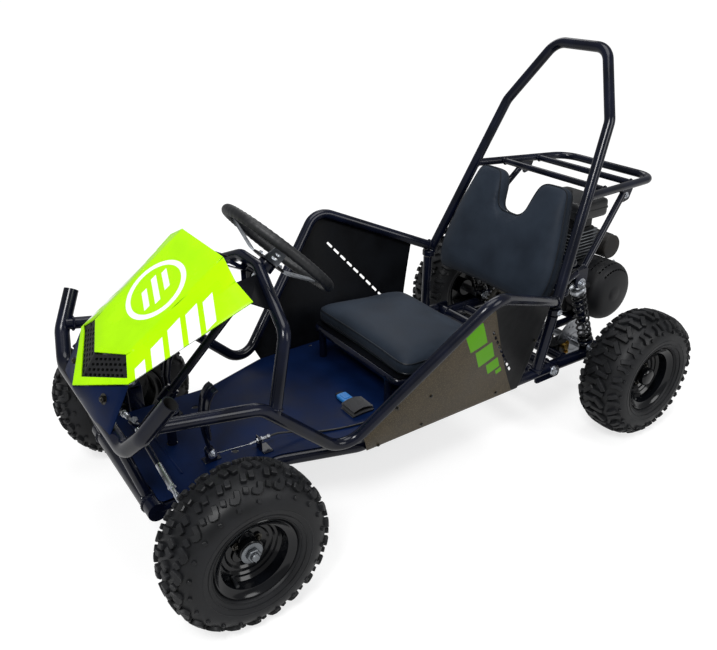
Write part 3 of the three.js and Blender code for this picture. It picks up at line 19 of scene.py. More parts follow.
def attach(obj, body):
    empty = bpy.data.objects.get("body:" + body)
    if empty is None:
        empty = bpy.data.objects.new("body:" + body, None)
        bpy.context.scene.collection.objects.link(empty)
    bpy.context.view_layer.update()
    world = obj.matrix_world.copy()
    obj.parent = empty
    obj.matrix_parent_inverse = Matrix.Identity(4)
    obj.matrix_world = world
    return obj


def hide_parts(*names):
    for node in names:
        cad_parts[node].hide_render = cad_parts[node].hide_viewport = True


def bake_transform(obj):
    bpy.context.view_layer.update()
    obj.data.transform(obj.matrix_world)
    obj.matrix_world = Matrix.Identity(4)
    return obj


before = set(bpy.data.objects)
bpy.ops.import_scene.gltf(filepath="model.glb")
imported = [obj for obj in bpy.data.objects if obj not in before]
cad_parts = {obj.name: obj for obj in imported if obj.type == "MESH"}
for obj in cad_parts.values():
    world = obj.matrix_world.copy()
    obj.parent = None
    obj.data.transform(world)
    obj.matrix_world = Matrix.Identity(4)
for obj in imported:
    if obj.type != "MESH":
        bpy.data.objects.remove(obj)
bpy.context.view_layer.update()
KART_SHIFT = 26.5  # the kart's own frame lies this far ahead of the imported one, along Y
MM = 0.001
NEVER = 1e-9  # keeps a length from being zero
STRAIGHT = 0.02  # turn in radians below which a corner of a path stays as it is
RUN_SHARE = 0.48  # share of a straight run that the arc at one end of it may take
LEAST_SINE = 0.2  # between a path and the direction that its flat side keeps
WELD = 2e-6  # points nearer than this, in metres, are one
SHARP = 32.0  # degrees above which an edge is shaded sharp
WAVE_RATE = 3.2  # a wave texture of scale one repeats this often in a metre
LOG = logging.getLogger("kart")
X, Y, Z = np.eye(3)
Points = np.ndarray
Socket = bpy.types.NodeSocket

# The steering wheel's middle and the way down its column, which the frame, the bracket and the steering share
COLUMN_TILT = 43.5
WHEEL_MIDDLE = np.array([0.0, -299.0, 622.0])
DOWN_COLUMN = np.array([0.0, -math.cos(math.radians(COLUMN_TILT)), -math.sin(math.radians(COLUMN_TILT))])


class Side(Enum):
    """The driver's left, on +X, and right."""

    LEFT = 1
    RIGHT = -1

    @property
    def word(self) -> str:
        """Gives the side as it stands in the names of the nodes."""
        return self.name.lower()


class Grain(Enum):
    """How a finish breaks up its surface."""

    PEEL = "orange peel of a sprayed or moulded skin"
    PEBBLE = "pebbles of embossed vinyl"
    BRUSHED = "fine lines left by a lathe or a brush"
    WOVEN = "crossing threads"
    CAST = "sand cast skin"


def linear(code: str) -> tuple[float, float, float, float]:
    """Turns an sRGB hex colour into linear light.

    Args:
        code: six hex digits after a hash.

    Returns:
        Red, green, blue and a full alpha.
    """
    srgb = np.array([int(code[i : i + 2], 16) / 255 for i in (1, 3, 5)])
    light = np.where(srgb <= 0.04045, srgb / 12.92, ((srgb + 0.055) / 1.055) ** 2.4)
    return (*light.tolist(), 1.0)


def packed(points: Points) -> Points:
    """Turns millimetres in the kart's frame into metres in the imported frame."""
    return (np.asarray(points, float) - [0, KART_SHIFT, 0]) * MM


def add_node(tree: bpy.types.NodeTree, kind: str, inputs: dict | None = None, **settings) -> bpy.types.Node:
    """Adds one node with its settings, constants and links.

    Args:
        tree: the node tree it goes into.
        kind: the node's type without the leading ShaderNode.
        inputs: socket name or number, and the number, colour, vector or output socket it takes.
        settings: properties of the node.

    Returns:
        The new node.
    """
    node = tree.nodes.new("ShaderNode" + kind)
    for key, value in settings.items():
        setattr(node, key, value)
    for key, value in (inputs or {}).items():
        if isinstance(value, bpy.types.NodeSocket):
            tree.links.new(value, node.inputs[key])
        else:
            node.inputs[key].default_value = value
    return node


@dataclass(frozen=True)
class Finish:
    """A real surface: its colours, gloss and the size of its grain."""

    name: str
    colour: str
    second: str
    roughness: float
    spread: float = 0.06
    metallic: float = 0.0
    grain: Grain = Grain.PEEL
    grain_mm: float = 2.0
    relief_mm: float = 0.02
    patch_mm: float = 70.0
    coat: float = 0.0
    coat_roughness: float = 0.04
    sheen: float = 0.0
    ior: float = 1.5

    def material(self) -> bpy.types.Material:
        """Gives the finish as a node material, made once.

        Returns:
            The material, whose patterns follow Object coordinates.
        """
        made = bpy.data.materials.get(self.name)
        if made:
            return made
        made = bpy.data.materials.new(self.name)
        made.use_nodes = True
        tree = made.node_tree
        tree.nodes.clear()
        at = add_node(tree, "TexCoord").outputs["Object"]
        patch = add_node(tree, "TexNoise", {"Vector": at, "Scale": 1000 / self.patch_mm, "Detail": 5.0})
        share = add_node(tree, "MapRange", {0: patch.outputs["Fac"], 1: 0.35, 2: 0.65}).outputs[0]
        rough = {0: patch.outputs["Fac"], 1: 0.3, 2: 0.7, 3: self.roughness - self.spread}
        gloss = add_node(tree, "MapRange", rough | {4: self.roughness + self.spread})
        height = self.height(tree, at)
        bump = add_node(tree, "Bump", {"Strength": 1.0, "Distance": self.relief_mm * MM, "Height": height})
        shader = {
            "Base Color": self.base_colour(tree, at, share),
            "Roughness": gloss.outputs[0],
            "Metallic": self.metallic,
            "Coat Weight": self.coat,
            "Coat Roughness": self.coat_roughness,
            "Sheen Weight": self.sheen,
            "Normal": bump.outputs[0],
        }
        if not self.metallic:
            shader["IOR"] = self.ior
        surface = add_node(tree, "BsdfPrincipled", shader)
        add_node(tree, "OutputMaterial", {"Surface": surface.outputs[0]})
        return made

    def mixed(self, tree: bpy.types.NodeTree, share: Socket, under: Socket | tuple, over: tuple) -> Socket:
        """Mixes two colours.

        Args:
            tree: the node tree.
            share: the socket with the share of the second colour.
            under: the first colour.
            over: the second colour.

        Returns:
            The mixed colour's socket.
        """
        return add_node(tree, "Mix", {0: share, 6: under, 7: over}, data_type="RGBA").outputs[2]

    def base_colour(self, tree: bpy.types.NodeTree, at: Socket, share: Socket) -> Socket:
        """Mixes the two colours in patches, as uneven batches, dust and handling leave them.

        Args:
            tree: the node tree.
            at: the socket with the place on the piece.
            share: the socket with the patches' share of the second colour.

        Returns:
            The colour's socket.
        """
        return self.mixed(tree, share, linear(self.colour), linear(self.second))

    def height(self, tree: bpy.types.NodeTree, at: Socket) -> Socket:
        """Gives the grain's height, from the real size of its bumps.

        Args:
            tree: the node tree.
            at: the socket with the place on the piece.

        Returns:
            The height's socket.
        """
        scale = 1000 / self.grain_mm
        if self.grain is Grain.PEBBLE:
            cells = {"Vector": at, "Scale": scale, "Smoothness": 0.6}
            return add_node(tree, "TexVoronoi", cells, feature="SMOOTH_F1").outputs["Distance"]
        if self.grain is Grain.WOVEN:
            wave = {"Vector": at, "Scale": scale / WAVE_RATE}
            warp, weft = (add_node(tree, "TexWave", wave, bands_direction=way) for way in ("X", "Y"))
            both = {0: warp.outputs["Fac"], 1: weft.outputs["Fac"]}
            return add_node(tree, "Math", both, operation="MAXIMUM").outputs[0]
        if self.grain is Grain.BRUSHED:
            lines = add_node(tree, "Mapping", {"Vector": at, "Scale": (1.0, 0.06, 0.06)}, vector_type="POINT")
            at = lines.outputs[0]
        detail = 6.0 if self.grain is Grain.CAST else 2.0
        return add_node(tree, "TexNoise", {"Vector": at, "Scale": scale, "Detail": detail}).outputs["Fac"]


@dataclass(frozen=True)
class Stroke:
    """A parallelogram painted on a panel: the band between two lines, cut by two more.

    Each pair is a direction in the kart's frame, the middle of the band along it and the band's half width.
    """

    first: tuple[tuple[float, float, float], float, float]
    second: tuple[tuple[float, float, float], float, float]


@dataclass(frozen=True)
class Artwork(Finish):
    """A finish with plain generic shapes painted on it, and where it is given, a painted shade past a plane."""

    strokes: tuple[Stroke, ...] = ()
    ink: str = "#FFFFFF"
    ring: tuple[float, float, float, float] | None = None
    squash: float = 1.4
    # painted shade: past this plane, a direction and a limit, the colour is the flat near black in shaded
    shade: tuple[tuple[float, float, float], float] | None = None
    shaded: str = "#050609"
    speck: str | None = None
    speck_mm: float = 3.0

    def band(self, tree: bpy.types.NodeTree, at: Socket, edge: tuple) -> Socket:
        """Gives one inside a band across a direction and zero outside.

        Args:
            tree: the node tree.
            at: the socket with the place on the piece.
            edge: direction, middle and half width, in millimetres in the kart's frame.

        Returns:
            The mask's socket.
        """
        way, middle, half = edge
        along = add_node(tree, "VectorMath", {0: at, 1: way}, operation="DOT_PRODUCT").outputs["Value"]
        target = (middle - way[1] * KART_SHIFT) * MM
        return add_node(tree, "Math", {0: along, 1: target, 2: half * MM}, operation="COMPARE").outputs[0]

    def base_colour(self, tree: bpy.types.NodeTree, at: Socket, share: Socket) -> Socket:
        """Paints the specks, then the strokes and the ring, over the patches, and last the painted shade.

        Args:
            tree: the node tree.
            at: the socket with the place on the piece.
            share: the socket with the patches' share of the second colour.

        Returns:
            The colour's socket.
        """
        colour = super().base_colour(tree, at, share)
        if self.speck:
            cells = add_node(tree, "TexVoronoi", {"Vector": at, "Scale": 1000 / self.speck_mm})
            dots = {0: cells.outputs["Distance"], 1: 0.12, 2: 0.42, 3: 1.0, 4: 0.0}
            colour = self.mixed(tree, add_node(tree, "MapRange", dots).outputs[0], colour, linear(self.speck))
        masks = []
        for stroke in self.strokes:
            bands = [self.band(tree, at, edge) for edge in (stroke.first, stroke.second)]
            masks.append(add_node(tree, "Math", {0: bands[0], 1: bands[1]}, operation="MULTIPLY").outputs[0])
        if self.ring:
            x, y, radius, half = self.ring
            flat = add_node(tree, "Mapping", {"Vector": at, "Scale": (1.0, self.squash, 0.0)}).outputs[0]
            middle = (x * MM, self.squash * (y - KART_SHIFT) * MM, 0.0)
            away = add_node(tree, "VectorMath", {0: flat, 1: middle}, operation="DISTANCE").outputs["Value"]
            circle_edge = {0: away, 1: radius * MM, 2: half * MM}
            masks.append(add_node(tree, "Math", circle_edge, operation="COMPARE").outputs[0])
        for mask in masks:
            colour = self.mixed(tree, mask, colour, linear(self.ink))
        # Painted shade: past the plane the colour turns flat near black, standing in for unlit space
        if self.shade:
            way, limit = self.shade
            along = add_node(tree, "VectorMath", {0: at, 1: way}, operation="DOT_PRODUCT").outputs["Value"]
            edge = {0: along, 1: (limit - way[1] * KART_SHIFT) * MM}
            painted_shade_mask = add_node(tree, "Math", edge, operation="GREATER_THAN").outputs[0]
            colour = self.mixed(tree, painted_shade_mask, colour, linear(self.shaded))
        return colour


# Powder coat: glossy, thick, almost black with a blue cast, slightly rippled like orange peel
FRAME_COAT = Finish("powder_coat_gloss_black", "#070A15", "#0B1022", 0.2, 0.05, grain_mm=3.0, relief_mm=0.02,
                    coat=0.12, coat_roughness=0.06, ior=1.34)
# Sprayed enamel on pressed steel rims: deeper gloss than the frame
RIM_ENAMEL = Finish("enamel_gloss_black_rim", "#07080B", "#0C0E12", 0.16, 0.04, grain_mm=4.0, relief_mm=0.012,
                    coat=0.2, coat_roughness=0.04, ior=1.36)
# Powder coat on sheet steel: satin navy that shows faint brush marks of handling
NAVY_SHEET = Finish("powder_coat_satin_navy", "#061432", "#091B3F", 0.4, 0.07, grain_mm=2.5, relief_mm=0.02,
                    ior=1.16)
# Moulded ABS with a gloss face: flat, saturated, sharp reflections
HOOD_ABS = Artwork(
    "abs_gloss_lime", "#A4E600", "#ADEF00", 0.26, 0.05, grain_mm=6.0, relief_mm=0.015, coat=0.03, ior=1.2,
    ring=(0.0, -592.0, 80.0, 7.0), ink="#F4F8F4",
    strokes=tuple(
        Stroke(((side, 0.0, 0.0), middle, half), ((side * 0.35, 1.0, 0.0), along, width))
        for side in (1.0, -1.0)
        for middle, half, along, width in (
            (157.0, 27.0, -602.0, 13.0), (159.0, 30.0, -563.0, 14.0), (163.0, 28.0, -524.0, 13.0),
            (166.0, 22.0, -488.0, 11.0), (150.0, 14.0, -640.0, 11.0),
        )
    ) + tuple(
        Stroke(((1.0, 0.0, 0.0), 0.0, half), ((0.3, 1.0, 0.0), along, 6.0))
        for half, along in ((30.0, -616.0), (42.0, -592.0), (30.0, -568.0))
    ),
)
# Moulded polypropylene: matt, fine spark-eroded grain
BLACK_MOULDED = Finish("polypropylene_grained_black", "#111215", "#18191C", 0.5, 0.07, grain_mm=0.9,
                       relief_mm=0.04, ior=1.38)
# Blown polyethylene tank: smoother and a little shinier than the moulded trim
TANK_SKIN = Finish("polyethylene_blown_black", "#121316", "#1A1C1F", 0.38, 0.06, grain_mm=1.6, relief_mm=0.03)
# Turned and ground steel: bright, with fine lines round the shaft
BARE_STEEL = Finish("steel_turned_bright", "#A6A8AC", "#888B90", 0.3, 0.08, metallic=1.0, grain=Grain.BRUSHED,
                    grain_mm=0.5, relief_mm=0.01)
# Zinc plate with a clear passivate: bright, slightly cold metal
ZINC = Finish("zinc_plate_passivated", "#DCE0E6", "#C2C6CC", 0.3, 0.08, metallic=1.0, grain_mm=1.0,
              relief_mm=0.012, patch_mm=18)
# Die-cast aluminium, unpolished: grey with a sandy skin
CAST_METAL = Finish("aluminium_die_cast", "#8E9296", "#73777B", 0.46, 0.08, metallic=1.0, grain=Grain.CAST,
                    grain_mm=1.2, relief_mm=0.09)
# Engine paint over a casting: black satin that keeps the cast skin
ENGINE_BLACK = Finish("engine_paint_black", "#0F1013", "#17181B", 0.42, 0.08, grain=Grain.CAST, grain_mm=1.4,
                      relief_mm=0.06, ior=1.38)
# Heat-proof paint on the muffler: dead matt, browned by heat
MUFFLER_PAINT = Finish("heat_proof_paint_matt", "#1C1B1B", "#2A2622", 0.72, 0.08, grain=Grain.CAST,
                       grain_mm=0.8, relief_mm=0.05, patch_mm=35)
# Vinyl-coated cloth with a pebbled grain, softly creased: slate, dull highlights
SEAT_VINYL = Finish("vinyl_pebbled_slate", "#1F2630", "#28303B", 0.54, 0.07, grain=Grain.PEBBLE, grain_mm=2.2,
                    relief_mm=0.09, patch_mm=90, sheen=0.03, ior=1.2)
# Welt cord of the same vinyl, worn a little smoother
SEAT_WELT = Finish("vinyl_welt_dark", "#13171D", "#1A1F27", 0.4, 0.06, grain=Grain.PEBBLE, grain_mm=1.4,
                   relief_mm=0.05, ior=1.34)
# Moulded tyre rubber: dull charcoal with a dry bloom in patches
TYRE_RUBBER = Finish("rubber_tyre_charcoal", "#121315", "#1B1C1F", 0.48, 0.09, grain_mm=1.2, relief_mm=0.06,
                     patch_mm=45, ior=1.36)
# Polyurethane foam skin on the steering ring: matt with a leather-like grain
GRIP_FOAM = Finish("polyurethane_grip_black", "#141518", "#1B1D20", 0.5, 0.06, grain=Grain.PEBBLE,
                   grain_mm=1.6, relief_mm=0.06)
# Silver paint on the pressed steel spokes: pale, even and softly bright
SPOKE_PAINT = Finish("steel_pressed_silver", "#BCC1C8", "#A6ABB2", 0.34, 0.07, metallic=0.9, grain_mm=1.5,
                     relief_mm=0.015)
# Oiled roller chain: dark steel with bright rubbed edges
CHAIN_STEEL = Finish("steel_chain_oiled", "#5C5A56", "#37352F", 0.34, 0.1, metallic=1.0, grain_mm=2.0,
                     relief_mm=0.02, patch_mm=9)
# Enamel on the spring wire: gloss black with a thin bright line along each curl
SPRING_PAINT = Finish("spring_enamel_black", "#08090C", "#101216", 0.2, 0.05, grain_mm=2.0, relief_mm=0.015,
                      coat=0.15, ior=1.4)
# Nylon webbing: narrow threads with a slight sheen
WEBBING = Finish("nylon_webbing_black", "#15161A", "#1E2026", 0.66, 0.06, grain=Grain.WOVEN, grain_mm=1.6,
                 relief_mm=0.12, sheen=0.25)
# Moulded nylon of the buckle: clear blue, satin
BUCKLE_NYLON = Finish("nylon_moulded_blue", "#1E6DB4", "#2A7DC6", 0.32, 0.05, grain_mm=1.2, relief_mm=0.015)
# PVC sleeve of the control cables: smooth, black and a little dull
CABLE_SLEEVE = Finish("pvc_cable_black", "#101114", "#17191C", 0.4, 0.05, grain_mm=1.0, relief_mm=0.02)
# Near black inside open tubes and behind the vent's holes: painted shade for their unlit depth, with the faint
# brown of bare steel in its second colour
BORE_PAINTED_SHADE = Finish("bore_painted_shade", "#0A0A0B", "#141312", 0.8, 0.05, grain_mm=1.0, relief_mm=0.05)
# Powder coat with metal flake: satin bronze with pale specks, which are drawn coarser than real flakes so
# that they show; generic green blades are painted on it, and its rear part is painted shade, a flat near black
# that stands for the dark open space behind the panel's slotted rear edge
PANEL_COAT = Artwork(
    "powder_coat_bronze_flake", "#484032", "#534A3B", 0.36, 0.06, grain_mm=1.6, relief_mm=0.03, patch_mm=40,
    coat=0.02, coat_roughness=0.12, ior=1.18, speck="#6E6450", speck_mm=3.4, ink="#66B40A",
    # painted shade: the panel's rear, past this plane, is flat near black for the dark open space behind it
    shade=((0.0, 0.853, 0.524), 297.0),
    strokes=tuple(
        Stroke(((0.0, 0.853, 0.524), middle, half), ((0.0, -0.3, 0.954), along, width))
        for middle, half, along, width in ((236.0, 24.0, 436.0, 42.0), (248.0, 25.0, 347.0, 34.0),
                                           (263.0, 19.0, 276.0, 22.0), (276.0, 9.0, 236.0, 9.0))
    ),
)
# Satin black powder coat on hidden faces: even and dull
PANEL_BACK = Finish("powder_coat_satin_black", "#07080B", "#0C0E12", 0.38, 0.06, grain_mm=2.5, relief_mm=0.02,
                    ior=1.15)
# Yellow zinc passivate on small fittings: warm, brassy
YELLOW_ZINC = Finish("zinc_plate_yellow", "#B8964A", "#9A7A3A", 0.3, 0.08, metallic=1.0, grain_mm=1.0,
                     relief_mm=0.012, patch_mm=15)


def unit(vectors: Points) -> Points:
    """Gives each vector the length one."""
    vectors = np.asarray(vectors, float)
    return vectors / np.linalg.norm(vectors, axis=-1, keepdims=True)


def sided(points: Points, side: Side) -> Points:
    """Mirrors points of the left side to the given side."""
    return np.asarray(points, float) * [side.value, 1, 1]


def along_x(low: float, plan: Points | list) -> Points:
    """Gives points of the plane square to X at one place along it."""
    return np.column_stack([np.full(len(plan), low), plan])


def heading(angle: Points) -> Points:
    """Gives the unit vectors in a plane at angles in radians."""
    return np.stack([np.cos(angle), np.sin(angle)], -1)


def angles(count: int) -> Points:
    """Gives even angles round a full turn, in radians."""
    return np.linspace(0, 2 * math.pi, count, endpoint=False)


def about_x(at: Points, reach: float, radius: float, degrees: float) -> Points:
    """Gives the point at a reach along X from a middle, and at a radius and an angle round it."""
    turn = math.radians(degrees)
    return np.asarray(at, float) + [reach, radius * math.cos(turn), radius * math.sin(turn)]


def laid(plan: Points, first: Points, second: Points) -> Points:
    """Lays flat points out along two directions, the first coordinate on one and the second on the other."""
    return plan[..., :1] * first + plan[..., 1:] * second


def walk(path: Points) -> Points:
    """Gives the distance walked along a path at each of its points."""
    return np.concatenate([[0], np.cumsum(np.linalg.norm(np.diff(path, axis=0), axis=1))])


def spots(path: Points, steps: Points | list) -> Points:
    """Gives the points of a path at distances along it."""
    walked = walk(path)
    return np.stack([np.interp(steps, walked, column) for column in np.transpose(path)], 1)


def rounded_path(corners: Points, bend: float, steps: int = 8) -> Points:
    """Joins straight runs by arcs, as a bender leaves a tube.

    At a corner with turn t the arc starts bend * tan(t / 2) before it, and swings from one radius to the
    other by spherical interpolation.

    Args:
        corners: the corners of the path, in order.
        bend: the bend radius.
        steps: runs in each arc.

    Returns:
        The points of the path.
    """
    corners = np.asarray(corners, float)
    pieces = [corners[:1]]
    for before, at, after in zip(corners, corners[1:], corners[2:]):
        back, on = unit(before - at), unit(after - at)
        turn = math.pi - math.acos(float(np.clip(back @ on, -1, 1)))
        if turn < STRAIGHT:
            pieces.append(at[None])
            continue
        runs = [RUN_SHARE * np.linalg.norm(end - at) for end in (before, after)]
        reach = min(bend * math.tan(turn / 2), *runs)
        radius = reach / math.tan(turn / 2)
        middle = at + unit(back + on) * radius / math.cos(turn / 2)
        spokes = [at + way * reach - middle for way in (back, on)]
        share = np.linspace(0, 1, steps + 1)[:, None]
        swing = (np.sin((1 - share) * turn) * spokes[0] + np.sin(share * turn) * spokes[1]) / math.sin(turn)
        pieces.append(middle + swing)
    return np.vstack([*pieces, corners[-1:]])


def across_of(path: Points, closed: bool = False) -> tuple[Points, Points]:
    """Gives two directions square to a path at each of its points.

    The first is the path's flattest direction, with its share along the path taken off, and the second is
    square to both.

    Args:
        path: the points of the path.
        closed: whether the path comes back to its start.

    Returns:
        The two directions, one row for each point.
    """
    if closed:
        along = unit(np.roll(path, -1, 0) - np.roll(path, 1, 0))
    else:
        along = unit(np.vstack([path[1:], path[-1:]]) - np.vstack([path[:1], path[:-1]]))
    flat = np.linalg.svd(path - path.mean(0))[2][2]
    if len(path) <= 2 or np.min(np.linalg.norm(np.cross(along, flat), axis=1)) < LEAST_SINE:
        flat = np.eye(3)[np.argmin(np.abs(along).max(0))]
    first = unit(flat - (along @ flat)[:, None] * along)
    return first, np.cross(along, first)


def circle(radius: float, sides: int = 24) -> Points:
    """Gives a circle of points in a plane."""
    return radius * heading(angles(sides))


def rounded_outline(corners: Points, radius: float, steps: int = 5) -> Points:
    """Rounds the corners of a closed outline in a plane.

    Each corner is carried along the quadratic curve from one touching point to the other.

    Args:
        corners: the outline's corners, in order.
        radius: how far from a corner the rounding starts.
        steps: runs in each rounding.

    Returns:
        The points of the outline.
    """
    corners = np.asarray(corners, float)
    sides = [np.roll(corners, turn, 0) - corners for turn in (1, -1)]
    lengths = [np.linalg.norm(side, axis=1, keepdims=True) for side in sides]
    touch = [corners + s / l * np.minimum(radius, RUN_SHARE * l) for s, l in zip(sides, lengths)]
    share = np.linspace(0, 1, steps + 1)[None, :, None]
    curve = (1 - share) ** 2 * touch[0][:, None] + 2 * share * (1 - share) * corners[:, None]
    return (curve + share**2 * touch[1][:, None]).reshape(-1, 2)


def plate(low: tuple[float, float], high: tuple[float, float], radius: float, steps: int = 5) -> Points:
    """Gives a rectangle with rounded corners between two opposite corners."""
    (x0, y0), (x1, y1) = low, high
    return rounded_outline([[x0, y0], [x1, y0], [x1, y1], [x0, y1]], radius, steps)


def rectangle(width: float, height: float, radius: float, steps: int = 4) -> Points:
    """Gives a rectangle with rounded corners about the middle."""
    return plate((-width / 2, -height / 2), (width / 2, height / 2), radius, steps)


def collar(low: float, high: float, bore: float, radius: float, run: float = 1.0, drop: float = 1.0) -> list:
    """Gives the profile of a ring with chamfered rims.

    Args:
        low: where the ring starts along its axis.
        high: where it ends.
        bore: radius of its hole.
        radius: its outer radius.
        run: length of each chamfer along the axis.
        drop: how far each chamfer falls from the outer radius.

    Returns:
        Rows of the distance along the axis and the radius.
    """
    rim = radius - drop
    return [[low, bore], [low, rim], [low + run, radius], [high - run, radius], [high, rim], [high, bore]]


def inset(outline: Points, amount: float) -> Points:
    """Moves a closed outline inwards, each corner along the mean of its two edges' normals.

    Args:
        outline: the outline's corners, in order.
        amount: how far its edges move.

    Returns:
        The corners of the smaller outline.
    """
    area = np.sum(outline[:, 0] * np.roll(outline[:, 1], -1) - np.roll(outline[:, 0], -1) * outline[:, 1])
    edges = np.roll(outline, -1, 0) - outline
    normals = unit(np.stack([-edges[:, 1], edges[:, 0]], 1) + NEVER) * np.sign(area)
    mean = normals + np.roll(normals, 1, 0)
    return outline + mean * amount / np.maximum(np.sum(mean * mean, 1, keepdims=True) / 2, 0.5)


def axes(axis: Points, across: Points | None = None) -> tuple[Points, Points, Points]:
    """Gives three square directions, the last along an axis.

    Args:
        axis: the direction of the last one.
        across: a direction that the first one leans to, or None for any.

    Returns:
        The three directions.
    """
    last = unit(np.asarray(axis, float))
    lean = np.eye(3)[np.argmin(abs(last))] if across is None else np.asarray(across, float)
    first = unit(lean - (lean @ last) * last)
    return first, np.cross(last, first), last


def soften(mesh: bpy.types.Mesh, sharp: float = SHARP) -> None:
    """Merges doubles, turns all faces outwards and shades them smooth.

    Args:
        mesh: the mesh.
        sharp: angle in degrees above which an edge is shaded sharp.
    """
    form = bmesh.new()
    form.from_mesh(mesh)
    bmesh.ops.remove_doubles(form, verts=form.verts, dist=WELD)
    bmesh.ops.recalc_face_normals(form, faces=form.faces)
    form.to_mesh(mesh)
    form.free()
    smooth(mesh, sharp)


def smooth(mesh: bpy.types.Mesh, sharp: float | None = None) -> None:
    """Shades all faces smooth, with edges above an angle in degrees left sharp."""
    mesh.polygons.foreach_set("use_smooth", np.ones(len(mesh.polygons), bool))
    if sharp is not None:
        mesh.set_sharp_from_angle(angle=math.radians(sharp))


def facing(mesh: bpy.types.Mesh, way: Points) -> None:
    """Turns an open sheet over when most of it faces away from a direction.

    Args:
        mesh: the sheet.
        way: the direction.
    """
    normals = np.empty(3 * len(mesh.polygons), np.float32)
    mesh.polygons.foreach_get("normal", normals)
    if (normals.reshape(-1, 3) @ way).sum() < 0:
        mesh.flip_normals()


class Shell:
    """Collects surfaces given as grids of points and makes them one object."""

    bore_depth: float = 22.0  # how far an open tube's bore is drawn
    ripples: int = 25  # puddles round a weld bead

    def __init__(self) -> None:
        """Starts empty."""
        self.points: list[Points] = []
        self.faces: list[list[int]] = []
        self.slots: list[int] = []
        self.count = 0

    def grid(self, points: Points, around: bool = True, along: bool = False, caps: bool = True,
             slot: int = 0) -> "Shell":
        """Adds the surface over a grid of points.

        Args:
            points: rows by columns of points.
            around: whether the last column joins the first.
            along: whether the last row joins the first.
            caps: whether the first and the last row are closed by a face.
            slot: number of the finish.

        Returns:
            The shell itself.
        """
        rows, columns = points.shape[:2]
        index = np.arange(rows * columns).reshape(rows, columns) + self.count
        ring = np.vstack([index, index[:1]]) if along else index
        net = np.hstack([ring, ring[:, :1]]) if around else ring
        quads = np.stack([net[:-1, :-1], net[:-1, 1:], net[1:, 1:], net[1:, :-1]], -1).reshape(-1, 4).tolist()
        if caps and around and not along:
            quads += [index[0][::-1].tolist(), index[-1].tolist()]
        self.points.append(points.reshape(-1, 3))
        self.faces += quads
        self.slots += [slot] * len(quads)
        self.count += rows * columns
        return self

    def tube(self, path: Points, radius: float | Points, sides: int = 20, closed: bool = False, slot: int = 0,
             bore: int | None = None, wall: float = 2.5) -> "Shell":
        """Carries a circle along a path.

        Args:
            path: the points that the middle follows.
            radius: one radius, or one for each point.
            sides: points on the circle.
            closed: whether the path comes back to its start.
            slot: number of the finish.
            bore: number of the finish inside open ends, or None for closed ends.
            wall: thickness seen at an open end.

        Returns:
            The shell itself.
        """
        path = np.asarray(path, float)
        first, second = across_of(path, closed)
        ring = circle(1.0, sides)
        size = np.broadcast_to(np.asarray(radius, float), len(path))[:, None, None]
        skin = path[:, None] + size * laid(ring, first[:, None], second[:, None])
        if bore is None:
            return self.grid(skin, along=closed, slot=slot)
        self.grid(skin, caps=False, slot=slot)
        for end, next_one in ((0, 1), (-1, -2)):
            inward = unit(path[next_one] - path[end])
            lip = path[end] + (skin[end] - path[end]) * (1 - wall / size[end, 0, 0])
            self.grid(np.stack([skin[end], lip]), caps=False, slot=slot)
            self.grid(np.stack([lip, lip + inward * self.bore_depth]), caps=False, slot=bore)
            self.faces.append((np.arange(sides) + self.count - sides).tolist())
            self.slots.append(bore)
        return self

    def turned(self, profile: Points, at: Points, axis: Points, sides: int = 48, closed: bool = False,
               slot: int = 0) -> "Shell":
        """Turns a profile about an axis.

        Args:
            profile: rows of the distance along the axis and the radius.
            at: the point of the axis where the distance is zero.
            axis: direction of the axis.
            sides: steps round the axis.
            closed: whether the profile comes back to its start.
            slot: number of the finish.

        Returns:
            The shell itself.
        """
        first, second, last = axes(axis)
        rows = np.asarray(profile, float)[:, None]
        points = np.asarray(at, float) + laid(rows, last, laid(circle(1.0, sides), first, second))
        return self.grid(points, along=closed, slot=slot)

    def prism(self, outline: Points, at: Points, axis: Points, depth: float, bevel: float = 0.6,
              across: Points | None = None, slot: int = 0) -> "Shell":
        """Carries a flat outline along an axis, with chamfered rims.

        Args:
            outline: points in the plane square to the axis.
            at: the outline's origin at its first end.
            axis: direction of the depth.
            depth: how far it is carried.
            bevel: size of the chamfer.
            across: direction of the outline's first coordinate.
            slot: number of the finish.

        Returns:
            The shell itself.
        """
        first, second, last = axes(axis, across)
        small = inset(outline, bevel)
        rows = [(small, 0.0), (outline, bevel), (outline, depth - bevel), (small, depth)]
        points = np.stack([laid(ring, first, second) + last * height for ring, height in rows])
        return self.grid(points + np.asarray(at, float), slot=slot)

    def block(self, low: Points, high: Points, bevel: float = 1.5, slot: int = 0) -> "Shell":
        """Adds a chamfered block, upright.

        Args:
            low: one of its corners.
            high: the corner opposite to it.
            bevel: size of the chamfer.
            slot: number of the finish.

        Returns:
            The shell itself.
        """
        low, high = np.minimum(low, high).astype(float), np.maximum(low, high).astype(float)
        size, middle = high - low, (low + high) / 2
        plan = rectangle(size[0], size[1], 2 * bevel, 3)
        return self.prism(plan, [*middle[:2], low[2]], Z, size[2], bevel, X, slot)

    def bolt(self, at: Points, axis: Points, size: float = 10.0, slot: int = 0) -> "Shell":
        """Adds a washer, a hexagon head and the end of its thread, standing on a surface.

        Args:
            at: the place on the surface.
            axis: direction off the surface.
            size: the head's width over its flats.
            slot: number of the finish.

        Returns:
            The shell itself.
        """
        at, last = np.asarray(at, float), unit(axis)
        washer = size * np.array([[-0.1, 0], [-0.1, 0.98], [0.06, 0.98], [0.06, 0]])
        thread = size * np.array([[0, 0], [0, 0.28], [0.7, 0.28], [0.76, 0.22], [0.76, 0]])
        head, low = circle(size * 0.577, 6), at + last * size * 0.05
        self.turned(washer, at, last, 20, slot=slot)
        self.prism(head, low, last, size * 0.55, size * 0.06, slot=slot)
        return self.turned(thread, at, last, 12, slot=slot)

